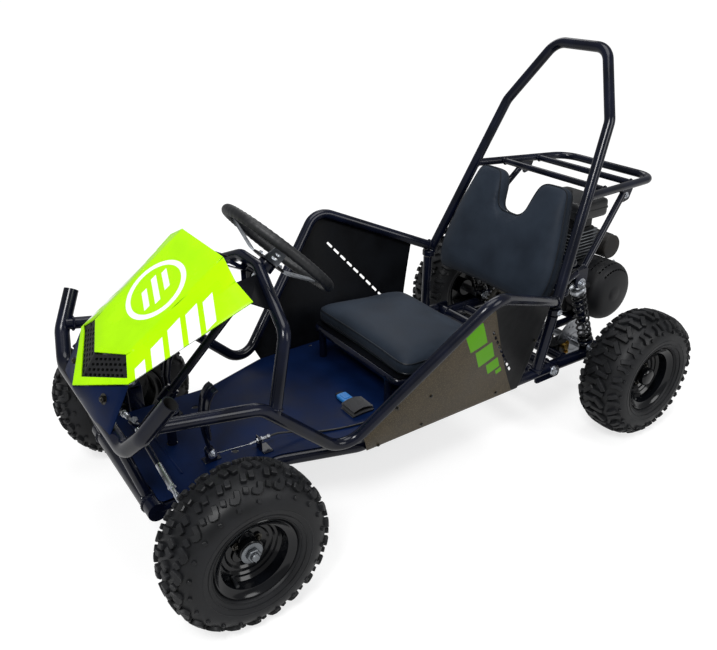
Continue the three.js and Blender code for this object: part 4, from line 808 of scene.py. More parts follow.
    def bead(self, at: Points, axis: Points, radius: float, size: float = 3.2, slot: int = 0) -> "Shell":
        """Adds a weld bead: a ring whose thickness ripples by a cosine, as the puddles freeze.

        Args:
            at: the ring's middle.
            axis: direction square to the ring.
            radius: radius of its middle line.
            size: the bead's greatest half thickness.
            slot: number of the finish.

        Returns:
            The shell itself.
        """
        path = np.asarray(at, float) + laid(circle(radius, 60), *axes(axis)[:2])
        ripple = size * (0.85 + 0.15 * np.cos(angles(60) * self.ripples))
        return self.tube(path, ripple, 8, closed=True, slot=slot)

    def mesh(self, name: str, sharp: float = SHARP) -> bpy.types.Mesh:
        """Makes the collected surfaces a mesh in metres.

        Args:
            name: the mesh's name.
            sharp: angle in degrees above which an edge is shaded sharp.

        Returns:
            The mesh, closed and facing outwards.
        """
        mesh = bpy.data.meshes.new(name)
        mesh.from_pydata(packed(np.vstack(self.points)).tolist(), [], self.faces)
        mesh.polygons.foreach_set("material_index", np.array(self.slots, np.int32))
        soften(mesh, sharp)
        return mesh

    def build(self, name: str, body: str, slot: str, finishes: list[Finish], replaces: tuple[str, ...] = (),
              sharp: float = SHARP) -> bpy.types.Object:
        """Makes the piece, dresses it, says what carries it and reports it.

        Args:
            name: the piece's name.
            body: the body that it rides on, or nothing for a piece that spans a joint and rides on none.
            slot: the record's slot of its main finish; not used.
            finishes: one for each finish number.
            replaces: the nodes that it stands for.
            sharp: angle in degrees above which an edge is shaded sharp.

        Returns:
            The piece.
        """
        piece = bpy.data.objects.new(name, self.mesh(name, sharp))
        bpy.context.scene.collection.objects.link(piece)
        for finish in finishes:
            piece.data.materials.append(finish.material())
        if body:
            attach(piece, body)
        if replaces:
            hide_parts(*replaces)
        LOG.info("%s: %d faces on %s", name, len(piece.data.polygons), body or "two bodies")
        return piece

    def steel(self, name: str, node: str, *others: Finish, body: str = "chassis") -> bpy.types.Object:
        """Builds a piece in the frame's black coat.

        Args:
            name: the piece's name.
            node: the node that it stands for.
            others: the finishes of its fittings.
            body: the body that it rides on.

        Returns:
            The piece.
        """
        return self.build(name, body, "black_frame_paint", [FRAME_COAT, *others], (node,))


def carve(piece: bpy.types.Object, tool: Shell, sharp: float = SHARP) -> None:
    """Cuts a shell out of a piece and applies the cut.

    Args:
        piece: the piece to cut.
        tool: the closed surfaces to take away.
        sharp: angle in degrees above which an edge is shaded sharp.
    """
    cutter = bpy.data.objects.new("cutter", tool.mesh("cutter"))
    bpy.context.scene.collection.objects.link(cutter)
    boolean = piece.modifiers.new("cut", "BOOLEAN")
    boolean.object, boolean.operation, boolean.solver = cutter, "DIFFERENCE", "EXACT"
    settle(piece)
    bpy.data.objects.remove(cutter)
    soften(piece.data, sharp)


def settle(piece: bpy.types.Object) -> None:
    """Applies all modifiers of a piece to its mesh."""
    graph = bpy.context.evaluated_depsgraph_get()
    done = bpy.data.meshes.new_from_object(piece.evaluated_get(graph), depsgraph=graph)
    piece.modifiers.clear()
    piece.data = done


@dataclass
class Studio:
    """The camera at the photograph's place, a pale floor and soft lamps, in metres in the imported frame."""

    place: tuple[float, float, float] = (1.42941, -1.08914, 1.23876)
    yaw: float = 55.46
    pitch: float = 26.73
    roll: float = -0.19
    lens: float = 38.04
    rings: tuple = (1.0, 8.0, 60.0)
    paper_tone: str = "#A8A8A8"
    near_glow: tuple = (1.6, 0.72)
    far_glow: tuple = (6.0, 0.9)
    paper_in_mirror: float = 0.38
    sky_on_matt: float = 0.36
    sky_in_mirror: float = 0.26
    lamps: tuple = (
        ("key", (1.6, -2.2, 3.4), (0.0, 0.0, 0.4), 1.2, 92.0),
        ("fill", (3.2, 1.6, 2.2), (0.0, 0.1, 0.4), 2.0, 40.0),
        ("rim", (-2.8, 1.8, 2.8), (0.0, 0.0, 0.5), 2.0, 22.0),
        ("top", (0.0, 0.2, 3.8), (0.0, 0.0, 0.0), 2.4, 50.0),
    )

    def camera(self) -> None:
        """Sets the camera up from its turn, its tilt down and its roll."""
        yaw, pitch, roll = (math.radians(a) for a in (self.yaw, self.pitch, self.roll))
        level = np.array([math.cos(yaw), math.sin(yaw), 0.0])
        ahead = math.cos(pitch) * np.cross(Z, level) - math.sin(pitch) * Z
        above = np.cross(level, ahead)
        right = math.cos(roll) * level + math.sin(roll) * above
        up = -math.sin(roll) * level + math.cos(roll) * above
        data = bpy.data.cameras.new("camera")
        data.lens, data.sensor_width, data.clip_end = self.lens, 36.0, 100.0
        camera = bpy.data.objects.new("camera", data)
        camera.matrix_world = Matrix(np.column_stack([right, up, -ahead]).tolist()).to_4x4()
        camera.location = self.place
        bpy.context.scene.collection.objects.link(camera)
        bpy.context.scene.camera = camera

    def paper(self) -> bpy.types.Material:
        """Makes the pale paper, which glows to the eye, less in mirrors, and keeps the shadow.

        Returns:
            The floor's material.
        """
        made = bpy.data.materials.new("studio_paper")
        made.use_nodes = True
        tree = made.node_tree
        tree.nodes.clear()
        path = add_node(tree, "LightPath").outputs
        glossy = {0: path["Is Glossy Ray"], 1: self.paper_in_mirror}
        mirrored = add_node(tree, "Math", glossy, operation="MULTIPLY")
        seen = add_node(tree, "Math", {0: path["Is Camera Ray"], 1: mirrored.outputs[0]}, operation="MAXIMUM")
        sight = {0: seen.outputs[0], 1: path["Is Transmission Ray"]}
        shown = add_node(tree, "Math", sight, operation="MAXIMUM")
        place = add_node(tree, "TexCoord").outputs["Object"]
        away = add_node(tree, "VectorMath", {0: place}, operation="LENGTH").outputs["Value"]
        (near, dim), (far, bright) = self.near_glow, self.far_glow
        own = add_node(tree, "MapRange", {0: away, 1: near, 2: far, 3: dim, 4: bright})
        lit = add_node(tree, "Math", {0: shown.outputs[0], 1: own.outputs[0]}, operation="MULTIPLY")
        glow = add_node(tree, "Emission", {"Color": linear("#FFFFFF"), "Strength": lit.outputs[0]})
        matt = add_node(tree, "BsdfDiffuse", {"Color": linear(self.paper_tone)})
        both = add_node(tree, "AddShader", {0: glow.outputs[0], 1: matt.outputs[0]})
        add_node(tree, "OutputMaterial", {"Surface": both.outputs[0]})
        return made

    def backdrop(self) -> None:
        """Lays the floor: a disc of three rings, whose far edge melts into the white world."""
        disc = np.pad(circle(1.0, 64), ((0, 0), (0, 1)))
        shell = Shell().grid(np.array(self.rings)[:, None, None] * disc, caps=False)
        shell.faces.append(list(range(len(disc))))
        mesh = bpy.data.meshes.new("floor_paper")
        mesh.from_pydata(np.vstack(shell.points).tolist(), [], shell.faces)
        sheet = bpy.data.objects.new("floor_paper", mesh)
        bpy.context.scene.collection.objects.link(sheet)
        mesh.materials.append(self.paper())

    def light(self) -> None:
        """Hangs the area lamps and sets the pale world."""
        for name, place, aim, size, power in self.lamps:
            data = bpy.data.lights.new(name, "AREA")
            data.shape, data.size, data.energy = "DISK", size, power
            lamp = bpy.data.objects.new(name, data)
            turn = np.column_stack(axes(np.subtract(place, aim)))
            lamp.matrix_world = Matrix(turn.tolist()).to_4x4()
            lamp.location = place
            bpy.context.scene.collection.objects.link(lamp)
        world = bpy.data.worlds.new("studio_world")
        world.use_nodes = True
        tree = world.node_tree
        tree.nodes.clear()
        path = add_node(tree, "LightPath").outputs
        rays = {0: path["Is Glossy Ray"], 1: path["Is Transmission Ray"]}
        clear = add_node(tree, "Math", rays, operation="MAXIMUM").outputs[0]
        mirror = add_node(tree, "MapRange", {0: clear, 3: self.sky_on_matt, 4: self.sky_in_mirror}).outputs[0]
        strength = add_node(tree, "MapRange", {0: path["Is Camera Ray"], 3: mirror, 4: 1.0}).outputs[0]
        sky = add_node(tree, "Background", {"Color": linear("#FFFFFF"), "Strength": strength})
        add_node(tree, "OutputWorld", {"Surface": sky.outputs[0]})
        bpy.context.scene.world = world
        bpy.context.scene.view_settings.view_transform = "Standard"


@dataclass
class Frame:
    """The welded tube frame: lower tubes, cross tubes, yokes, bumper, rails, hoops and rack."""

    tube: float = 14.0
    bumper: float = 17.0
    beam: float = 17.0
    nose: float = 21.0
    rack: float = 11.0
    bar: float = 9.0
    bend: float = 60.0
    lower: tuple = ((172, -711, 190), (179, -420, 195), (237, -244, 195), (237, 386, 195))
    rail: tuple = ((261.8, -723.6, 446.9), (261.8, -498, 405), (246.8, -291.6, 207.7), (374, 28.8, 551))
    rail_share: float = 0.057
    hoop: tuple = ((255, 362, 377), (183, 574, 833), (87, 649, 995))
    horn: tuple = ((304, -693, 511), (264, -739, 434), (203, -760, 376))
    steer_hoop: tuple = ((259.6, -467, 375), (220, -411, 533), (42, -373, 611))
    rack_rear: tuple = (165, 833, 640)
    rack_height: float = 655.0
    deck: float = 195.0
    crossings: tuple = (-95.0, 222.0, 341.0)
    pivot: tuple = (412.0, 182.0)
    shock_top: tuple = (484.0, 424.0)
    shock_side: float = 218.0
    kingpin: float = 273.0
    front_axle: float = -600.0
    axle_height: float = 177.5
    yoke_gap: float = 56.0
    yoke_plate: float = 7.0
    collar_down: float = 415.0

    def leg(self, height: float, side: Side = Side.LEFT) -> Points:
        """Gives the point of a roll hoop leg at a height."""
        foot, shoulder = np.array(self.hoop[0], float), np.array(self.hoop[1], float)
        return sided(foot + (shoulder - foot) * (height - foot[2]) / (shoulder[2] - foot[2]), side)

    def both(self, half: Points) -> Points:
        """Completes the left half of a hoop with its mirror image, from foot to foot."""
        half = np.asarray(half, float)
        return np.vstack([half, (half * [-1, 1, 1])[::-1]])

    def yoke(self, shell: Shell, side: Side) -> None:
        """Adds the two plates, the web and the pin that carry a steering knuckle.

        Args:
            shell: what they are added to.
            side: the side of the kart.
        """
        x, y, z = side.value * self.kingpin, self.front_axle, self.axle_height
        plan = rounded_outline([[-30, -19], [9, -19], [17, -7], [17, 7], [9, 19], [-30, 19]], 9)
        for low in (z - self.yoke_gap - 0.6 - self.yoke_plate, z + self.yoke_gap + 0.6):
            shell.prism(plan * [1, side.value], [x, y, low], Z, self.yoke_plate, 1, side.value * X)
        shell.prism(rectangle(38, 127, 5), [x - side.value * 30, y, z], side.value * X, 6, 1, Y)
        shell.tube([[x, y, z - 69], [x, y, z + 69]], 8, 16)
        for way in (1, -1):
            shell.bolt([x, y, z + way * 64], way * Z, 20, 1)

    def main(self) -> None:
        """Builds the lower frame with its cross tubes, stays, uprights and plates."""
        shell = Shell()
        nose_y, nose_z = self.lower[0][1:]
        for side in Side:
            s = side.value
            shell.tube(rounded_path(sided(self.lower, side), self.bend), self.tube, 28)
            self.yoke(shell, side)
            foot = sided([237, self.crossings[-1], self.deck], side)
            shell.tube([foot, self.leg(372, side)], self.tube, 24).bead(foot + [0, 0, 14], [0, 0.1, 1], 15)
            hanger = plate((341, 160), (434, 209), 12)
            shell.prism(hanger, [234.5 if s > 0 else -240.5, 0, 0], X, 6, 1, Y)
            shell.bolt([s * 240.6, *self.pivot], s * X, 17, 1)
            stay = [sided([140, nose_y, nose_z], side), sided([140, -757, 366], side)]
            shell.tube(stay, 11, 20).bead(sided([140, nose_y - 5, nose_z + 19], side), [0, -0.25, 0.97], 12)
            for y in self.crossings:
                shell.bead([s * 223, y, self.deck], X, self.tube + 1)
            shell.bead([s * 198, self.front_axle, 179], [0.5, 0.2, 1], 19)
            shell.bead([s * 150, nose_y, nose_z], X, self.nose + 0.5)
        cross_tubes = [(nose_y, nose_z, 186, self.nose, 32)]
        cross_tubes += [(self.front_axle, self.axle_height, 243, self.beam, 28)]
        cross_tubes += [(y, self.deck, 236, self.tube, 24) for y in self.crossings]
        for y, z, half, radius, sides in cross_tubes:
            shell.tube([[-half, y, z], [half, y, z]], radius, sides)
        sleeve = WHEEL_MIDDLE + DOWN_COLUMN * self.collar_down
        shell.tube([[0, sleeve[1], 180], sleeve - 12 * Z], 11, 20)
        shell.turned(collar(-17, 17, 10.9, 17, 1.5), sleeve, DOWN_COLUMN, 32, closed=True)
        shell.steel("main_frame_tubes", "main_frame", ZINC)

    def bumpers(self) -> None:
        """Builds the front bumper, whose horns end open."""
        path = rounded_path(self.both(self.horn), self.bend, 10)
        # The horns' bores are drawn shallow and closed, their near black finish painted shade for the tubes'
        # depth
        Shell().tube(path, self.bumper, 32, bore=1).steel("front_bumper_tube", "front_bumper", BORE_PAINTED_SHADE)

    def rails(self) -> None:
        """Builds the side rails from the bumper's horns down and back up to the roll hoop."""
        for side in Side:
            foot, shoulder = self.hoop[0][2], self.hoop[1][2]
            end = self.leg(foot + self.rail_share * (shoulder - foot), side)
            corners = np.vstack([sided(self.rail, side), end])
            corners[0] = corners[0] + (corners[0] - corners[1]) * 0.03
            shell = Shell().tube(rounded_path(corners, self.bend, 10), self.tube, 28)
            back, on, weld = corners[3] - end, corners[1] - corners[0], self.tube + 1.5
            shell.bead(end + back * 0.045, -back, weld).bead(corners[0] + on * 0.075, on, weld)
            shell.steel("side_rail_tube_" + side.word, "side_rail_" + side.word)

    def hoops(self) -> None:
        """Builds the roll hoop with its bolted collars, and the steering hoop."""
        shell = Shell().tube(rounded_path(self.both(self.hoop), 55, 12), self.tube, 32)
        for side in Side:
            foot, shoulder = sided(self.hoop[:2], side)
            on = unit(shoulder - foot)
            shell.turned([[0, 8], [0, 18.5], [1.5, 20], [14.5, 20], [16, 18.5], [16, 14]], foot, Z, 36)
            shell.bead(foot + on * 18, on, 15, 2.6)
            shell.bolt(foot + [side.value * 20, 0, 8], side.value * X, 9, 1)
        shell.steel("roll_hoop_tube", "roll_hoop", ZINC)
        shell = Shell().tube(rounded_path(self.both(self.steer_hoop), 45, 10), self.tube, 28)
        for side in Side:
            foot, shoulder = sided(self.steer_hoop[:2], side)
            on = unit(shoulder - foot)
            shell.bead(foot + on * 15, on, 15, 2.8)
        shell.steel("steering_hoop_tube", "steering_hoop")

    def rack_point(self, side: Side, share: float) -> Points:
        """Gives a point along a side of the rear rack."""
        front, rear = self.leg(self.rack_height, side), sided(self.rack_rear, side)
        return front + (rear - front) * share

    def rear_rack(self) -> None:
        """Builds the rear rack, its two bars, the struts and the ears of the shocks."""
        left, right = ([self.rack_point(side, share) for share in (0, 1)] for side in Side)
        shell = Shell().tube(rounded_path([*left, *right[::-1]], self.bend, 10), self.rack, 24)
        for share in (0.29, 0.67):
            ends = [self.rack_point(side, share) for side in Side]
            shell.tube(ends, self.bar, 20)
            for end in ends:
                shell.bead(end * [0.93, 1, 1], X, 10, 2.4)
        ear_wall, y, z = 6.0, *self.shock_top
        for side in Side:
            s = side.value
            knee, top = sided([self.shock_side, 506, 459.2], side), self.rack_point(side, 0.57)
            strut = [top + (knee - top) * 0.1, knee, self.leg(446, side)]
            shell.tube(rounded_path(strut, 20, 6), self.bar, 20)
            gusset = rounded_outline([[-30, 0], [26, 0], [12, -34], [-14, -40]], 6)
            shell.prism(gusset, top + [-3, 0, -6], X, 6, 0.8, Y)
            shell.bolt(top + [s * 3, -2, -26], s * X, 9, 1)
            along = self.rack_point(side, 1) - self.rack_point(side, 0)
            shell.bead(self.rack_point(side, 0.02), along, 12, 2.4)
            ear = plate((462, 413), (506, 466), 9)
            for off in (-17.3, 11.3):
                x = self.shock_side + off
                shell.prism(ear, [x if s > 0 else -x - ear_wall, 0, 0], X, ear_wall, 0.8, Y)
            for way in (-1, 1):
                shell.bolt([s * (self.shock_side + way * 17.3), y, z], s * way * X, 15, 1)
            shell.tube([[s * (self.shock_side + way * 18), y, z] for way in (-1, 1)], 5, 12, slot=1)
        shell.steel("rear_rack_tube", "rear_rack", ZINC)

    def build(self) -> None:
        """Builds the whole frame."""
        self.main()
        self.bumpers()
        self.rails()
        self.hoops()
        self.rear_rack()


@dataclass
class Panels:
    """The sheet parts: hood with its vent, front plate, floor pan, side panels and column bracket."""

    half: float = 213.5
    nose: float = -791.0
    rear: float = -480.0
    low: float = 433.0
    high: float = 677.0
    wall: float = 3.0
    drop: float = 3.9
    edge: float = 0.7
    sharp: float = 24.0
    vent_holes: tuple = ((14.0, 15.0, 10), (9.0, 11.0, 5))
    plate_foot: tuple = (154.0, -777.0, 378.0)
    pan_half: tuple = ((184, -702), (179, -420), (237, -244), (237, 208))
    pan_height: float = 209.3
    pan_holes: tuple = ((-111, -496, 8), (111, -496, 8), (0, -601, 13))
    panel_foot: tuple = (254.0, 187.0)
    panel_belly: float = 3.0
    panel_slots: tuple = ((374, 56.4, 447.4), (374, 192, 278.3), 9)
    panel_screws: tuple = ((3, 0.07), (14, 0.07), (36, 0.07), (6, 0.9), (13, 0.5), (45, 0.6))
    clamp_down: float = 98.0
    shares: tuple = ((0, 0, 0), (0.698, 0.228, 0.209), (0.457, 0.293, 0.357), (0, 0.177, 0.246),
                     (0, 0.063, 0.054), (0.485, 1, 1), (0.773, 0.981, 0.877), (1, 1.019, 0.757))
    stations: tuple = ((-231.6, -255.6), (-168, -180), (-96, -90), (-36, -30), (24, 28.8), (96, 108),
                       (168, 198), (235.2, 270), (254.4, 314.4))

    def corner(self, number: int, side: Side = Side.LEFT) -> Points:
        """Gives a corner of the hood from its shares of width, length and rise."""
        start, reach = [0, self.nose, self.low], [self.half, self.rear - self.nose, self.high - self.low]
        return sided(start + np.array(self.shares[number]) * reach, side)

    def facet(self, shell: Shell, corners: list[Points], steps: int = 10, belly: float = 0.0) -> None:
        """Adds a facet between four corners, a little crowned: four corners blended, plus a bulge.

        The bulge is belly times 16 u (1 - u) v (1 - v), straight up.

        Args:
            shell: what it is added to.
            corners: its corners, in order.
            steps: runs along each side.
            belly: height of the crown.
        """
        a, b, c, d = (np.asarray(p, float) for p in corners)
        u, v = (np.linspace(0, 1, steps + 1)[s] for s in (np.s_[:, None, None], np.s_[None, :, None]))
        grid = (1 - u) * ((1 - v) * a + v * b) + u * ((1 - v) * d + v * c)
        crown = 16 * belly * (u * (1 - u) * v * (1 - v)) * Z
        shell.grid(grid + crown, around=False, caps=False)

    def thicken(self, piece: bpy.types.Object, wall: float, material_offset: int = 0) -> None:
        """Gives a sheet its wall on the inner side, with a fine rounded edge.

        Args:
            piece: the sheet.
            wall: its thickness.
            material_offset: how many finishes further on the inner side's finish is.
        """
        solid = piece.modifiers.new("wall", "SOLIDIFY")
        solid.thickness, solid.offset, solid.material_offset = wall * MM, -1.0, material_offset
        bevel = piece.modifiers.new("edge", "BEVEL")
        bevel.width, bevel.segments, bevel.limit_method = self.edge * MM, 2, "ANGLE"
        settle(piece)
        smooth(piece.data, self.sharp)

    def hood(self) -> None:
        """Builds the hood: folded facets round the vent, thickened to a wall with a fine rounded edge."""
        shell = Shell()
        for side in Side:
            tip, rim, inner, crest, front, rear, high, low = (self.corner(n, side) for n in range(8))
            middle, rear_crest = (inner + crest) / 2, rear * [0, 1, 1]
            rear_middle = (rear + rear_crest) / 2
            for corners, steps in (
                ([tip, rim, self.vent_corners(side)[1], front], 6),
                ([inner, rim, low, high], 10),
                ([crest, middle, rear_middle, rear_crest], 10),
                ([middle, inner, rear, rear_middle], 10),
                ([inner, high, (high + rear) / 2, rear], 8),
            ):
                self.facet(shell, corners if side is Side.LEFT else corners[::-1], steps)
        piece = shell.build("hood_shell", "chassis", "hood_plastic", [HOOD_ABS], ("hood",), 12)
        facing(piece.data, Z)
        self.thicken(piece, self.wall)

    def vent_corners(self, side: Side) -> list[Points]:
        """Gives the four corners of one arm of the vent: tip, outer end, inner end and inner corner."""
        rim, inner = self.corner(1, side), self.corner(2, side)
        return [self.corner(4), rim + (inner - rim) * 0.2, inner, self.corner(3)]

    def vent(self) -> None:
        """Builds the vent: two leaning plates, one each side of the middle, holed in rows, painted shade
        behind.
        """
        drop = -(self.drop + 1.2) * Z
        (first_x, pitch_x, columns), (first_y, pitch_y, rows) = self.vent_holes
        shell, holes = Shell(), Shell()
        for side in Side:
            tip, outer, end, inner = self.vent_corners(side)
            way = unit(outer - tip)
            normal = unit(np.cross(way, inner - tip))
            normal = normal * np.sign(normal[2])
            up = np.cross(normal, way)
            plan = np.array([[(p - tip) @ way, (p - tip) @ up] for p in (tip, outer, end, inner)])
            shell.prism(plan, tip + drop - normal * 3, normal, 3, 0.5, way)
            # A near black plate behind the pierced plate: painted shade for the hood's dark inside, seen
            # through the holes
            shell.prism(plan, tip + drop - normal * 15, normal, 1.5, 0.3, way, 1)
            for row in range(rows):
                for step in range(columns):
                    across = first_x + (step + row % 2 / 2) * pitch_x
                    at = np.array([across, np.sign(plan[3, 1]) * (first_y + row * pitch_y)])
                    if self.within(at, plan, 6.5):
                        place = tip + drop + way * at[0] + up * at[1] - normal * 6
                        holes.prism(rectangle(10, 6, 2.8, 3), place, normal, 9, 0.2, way)
        finishes = [BLACK_MOULDED, BORE_PAINTED_SHADE]
        carve(shell.build("hood_vent_insert", "chassis", "black_plastic", finishes, ("hood_vent",)), holes)

    def within(self, at: Points, outline: Points, margin: float) -> bool:
        """Says whether a point lies well inside a convex outline.

        Args:
            at: the point.
            outline: the outline's corners, in order.
            margin: the least distance to each edge.

        Returns:
            Whether it does.
        """
        edges = np.roll(outline, -1, 0) - outline
        outward = np.stack([edges[:, 1], -edges[:, 0]], 1)
        outward = unit(outward * np.sign(np.sum(outward * (outline - outline.mean(0)), 1, keepdims=True)))
        return bool(np.all(np.sum((at - outline) * outward, 1) < -margin))

    def front_plate(self) -> None:
        """Builds the plate from the hood's nose down to the bumper, folded at the middle, with its bolts."""
        shell = Shell()
        drop = -(self.drop + 0.3) * Z
        for side in Side:
            foot = sided(self.plate_foot, side)
            corners = [foot * [0, 1, 1], foot, self.corner(1, side) + drop, self.corner(0) + drop]
            self.facet(shell, corners if side is Side.RIGHT else corners[::-1], 8)
        piece = shell.build("front_plate_sheet", "chassis", "navy_paint", [NAVY_SHEET], ("front_plate",))
        self.thicken(piece, 2.5)
        bolts = Shell()
        for side in Side:
            bolts.bolt(sided([93.6, -756.2, 435], side), sided([0.217, -0.914, 0.342], side), 12)
        bolts.build("front_plate_bolts", "chassis", "zinc_plate", [CHAIN_STEEL])

    def floor(self) -> None:
        """Builds the floor pan with two pressed ribs, and round holes closed by near black discs: painted
        shade.
        """
        half, height = np.array(self.pan_half, float), self.pan_height
        outline = rounded_outline(np.vstack([half, (half * [-1, 1])[::-1]]), 14, 4)
        shell = Shell().prism(outline, height * Z, Z, 2.0, 0.4, X)
        piece = shell.build("floor_pan_sheet", "chassis", "navy_paint", [NAVY_SHEET], ("floor_pan",))
        holes, ribs = Shell(), Shell()
        for x, y, radius in self.pan_holes:
            holes.prism(circle(radius, 20), [x, y, height - 9.3], Z, 20, 0.1, X)
            # A near black disc in each hole: painted shade for the shadowed ground that would show through it
            ribs.prism(circle(radius - 0.4, 20), [x, y, height - 0.9], Z, 1.8, 0.4, X, 1)
        carve(piece, holes)
        for y in (-655, -628):
            ribs.tube([[-120, y, height + 1.7], [120, y, height + 1.7]], 2.6, 12)
        ribs.build("floor_pan_ribs", "chassis", "navy_paint", [NAVY_SHEET, BLACK_MOULDED])

    def side_panels(self, frame: Frame) -> None:
        """Builds each side panel as a ruled sheet from the lower tube up to the rail, with sloping slots.

        A point is the bottom edge plus the share v of the way up to the rail, pushed out by the belly times
        4 v (1 - v), as pressed sheet stands.

        Args:
            frame: the frame that carries the panels.
        """
        rail = rounded_path(np.vstack([frame.rail, frame.leg(403)]), frame.bend, 10)
        table = np.array(self.stations, float)
        station = np.linspace(0, len(table) - 1, 49)
        low_y, high_y = (np.interp(station, range(len(table)), column) for column in table.T)
        top = np.stack([np.interp(high_y, rail[:, 1], column) for column in rail.T], 1)
        foot_x, foot_z = self.panel_foot
        bottom = np.stack([np.full(49, foot_x), low_y, np.full(49, foot_z)], 1)
        out = unit(np.stack([top[:, 2] - bottom[:, 2], 0 * low_y, -(top[:, 0] - bottom[:, 0])], 1))
        edge = top - unit(top - bottom) * 3 + out * 12
        first, last = np.array(self.panel_slots[:2])
        for side in Side:
            v = np.linspace(0, 1, 25)[:, None, None]
            grid = bottom + v * (edge - bottom) + out * 4 * v * (1 - v) * self.panel_belly
            shell = Shell().grid(sided(grid, side), around=False, caps=False)
            finishes, node = [PANEL_COAT, PANEL_BACK], "side_panel_" + side.word
            piece = shell.build("side_panel_sheet_" + side.word, "chassis", "panel_finish", finishes, (node,))
            facing(piece.data, side.value * X)
            self.thicken(piece, 2.2, 1)
            slots = Shell()
            for share in np.linspace(0, 1, self.panel_slots[2]):
                at = (first + (last - first) * share) * [0, 1, 1] + 180 * X
                across = sided(unit(last - first), side)
                slots.prism(rectangle(21, 6.8, 3.2), sided(at, side), side.value * X, 260, 0.1, across)
            carve(piece, slots, self.sharp)
            screws = Shell()
            for number, v in self.panel_screws:
                at = bottom[number] + v * (edge[number] - bottom[number])
                at = at + out[number] * 4 * v * (1 - v) * self.panel_belly
                screws.bolt(sided(at, side), sided(out[number], side), 6)
            screws.build("side_panel_screws_" + side.word, "chassis", "zinc_plate", [CHAIN_STEEL])

    def bracket(self) -> None:
        """Builds the bracket of the steering column, its clamp, and the strips and sheets behind the hood."""
        clamp = WHEEL_MIDDLE + DOWN_COLUMN * self.clamp_down
        shell = Shell().turned(collar(-17, 17, 10.9, 17, 1.5), clamp, DOWN_COLUMN, 32, closed=True)
        for side in Side:
            s = side.value
            low = 12 if s > 0 else -15
            shell.prism(plate((-389, 556), (-352, 603), 7), low * X, X, 3, 0.5, Y)
            shell.grid(strip_between(np.array([[s * 11, -382, 590], [s * 80, -484, 657]]), 9.0, 2.5))
            shell.bolt([s * 18, -370, 578], s * X, 10, 1)
            shell.bolt([s * 78, -484, 660], [0, 0.3, 1], 9, 1)
        shell.steel("column_bracket_steel", "column_bracket", ZINC)
        sheets = Shell()
        for side in Side:
            corners = sided([[160, -488, 640], [208, -476, 612], [156, -404, 557], [62, -386, 602]], side)
            normal = unit(np.cross(corners[1] - corners[0], corners[3] - corners[0]))
            sheets.grid(corners + normal * np.array([-1.2, 1.2])[:, None, None])
        sheets.build("hood_rear_sheets", "chassis", "black_frame_paint", [PANEL_BACK])

    def build(self, frame: Frame) -> None:
        """Builds all the panels on the frame."""
        self.hood()
        self.vent()
        self.front_plate()
        self.floor()
        self.side_panels(frame)
        self.bracket()


def strip_between(ends: Points, half: float, thickness: float) -> Points:
    """Carries a flat rectangle along a straight line, lying as level as the line allows.

    Args:
        ends: the two ends of its middle.
        half: half its width.
        thickness: its thickness.

    Returns:
        The grid of its corners.
    """
    along = unit(ends[1] - ends[0])
    wide = unit(np.cross(along, Z))
    tall = np.cross(wide, along)
    plan = np.array([[-1, -1], [1, -1], [1, 1], [-1, 1]]) * [half, thickness / 2]
    return ends[:, None] + laid(plan, wide, tall)


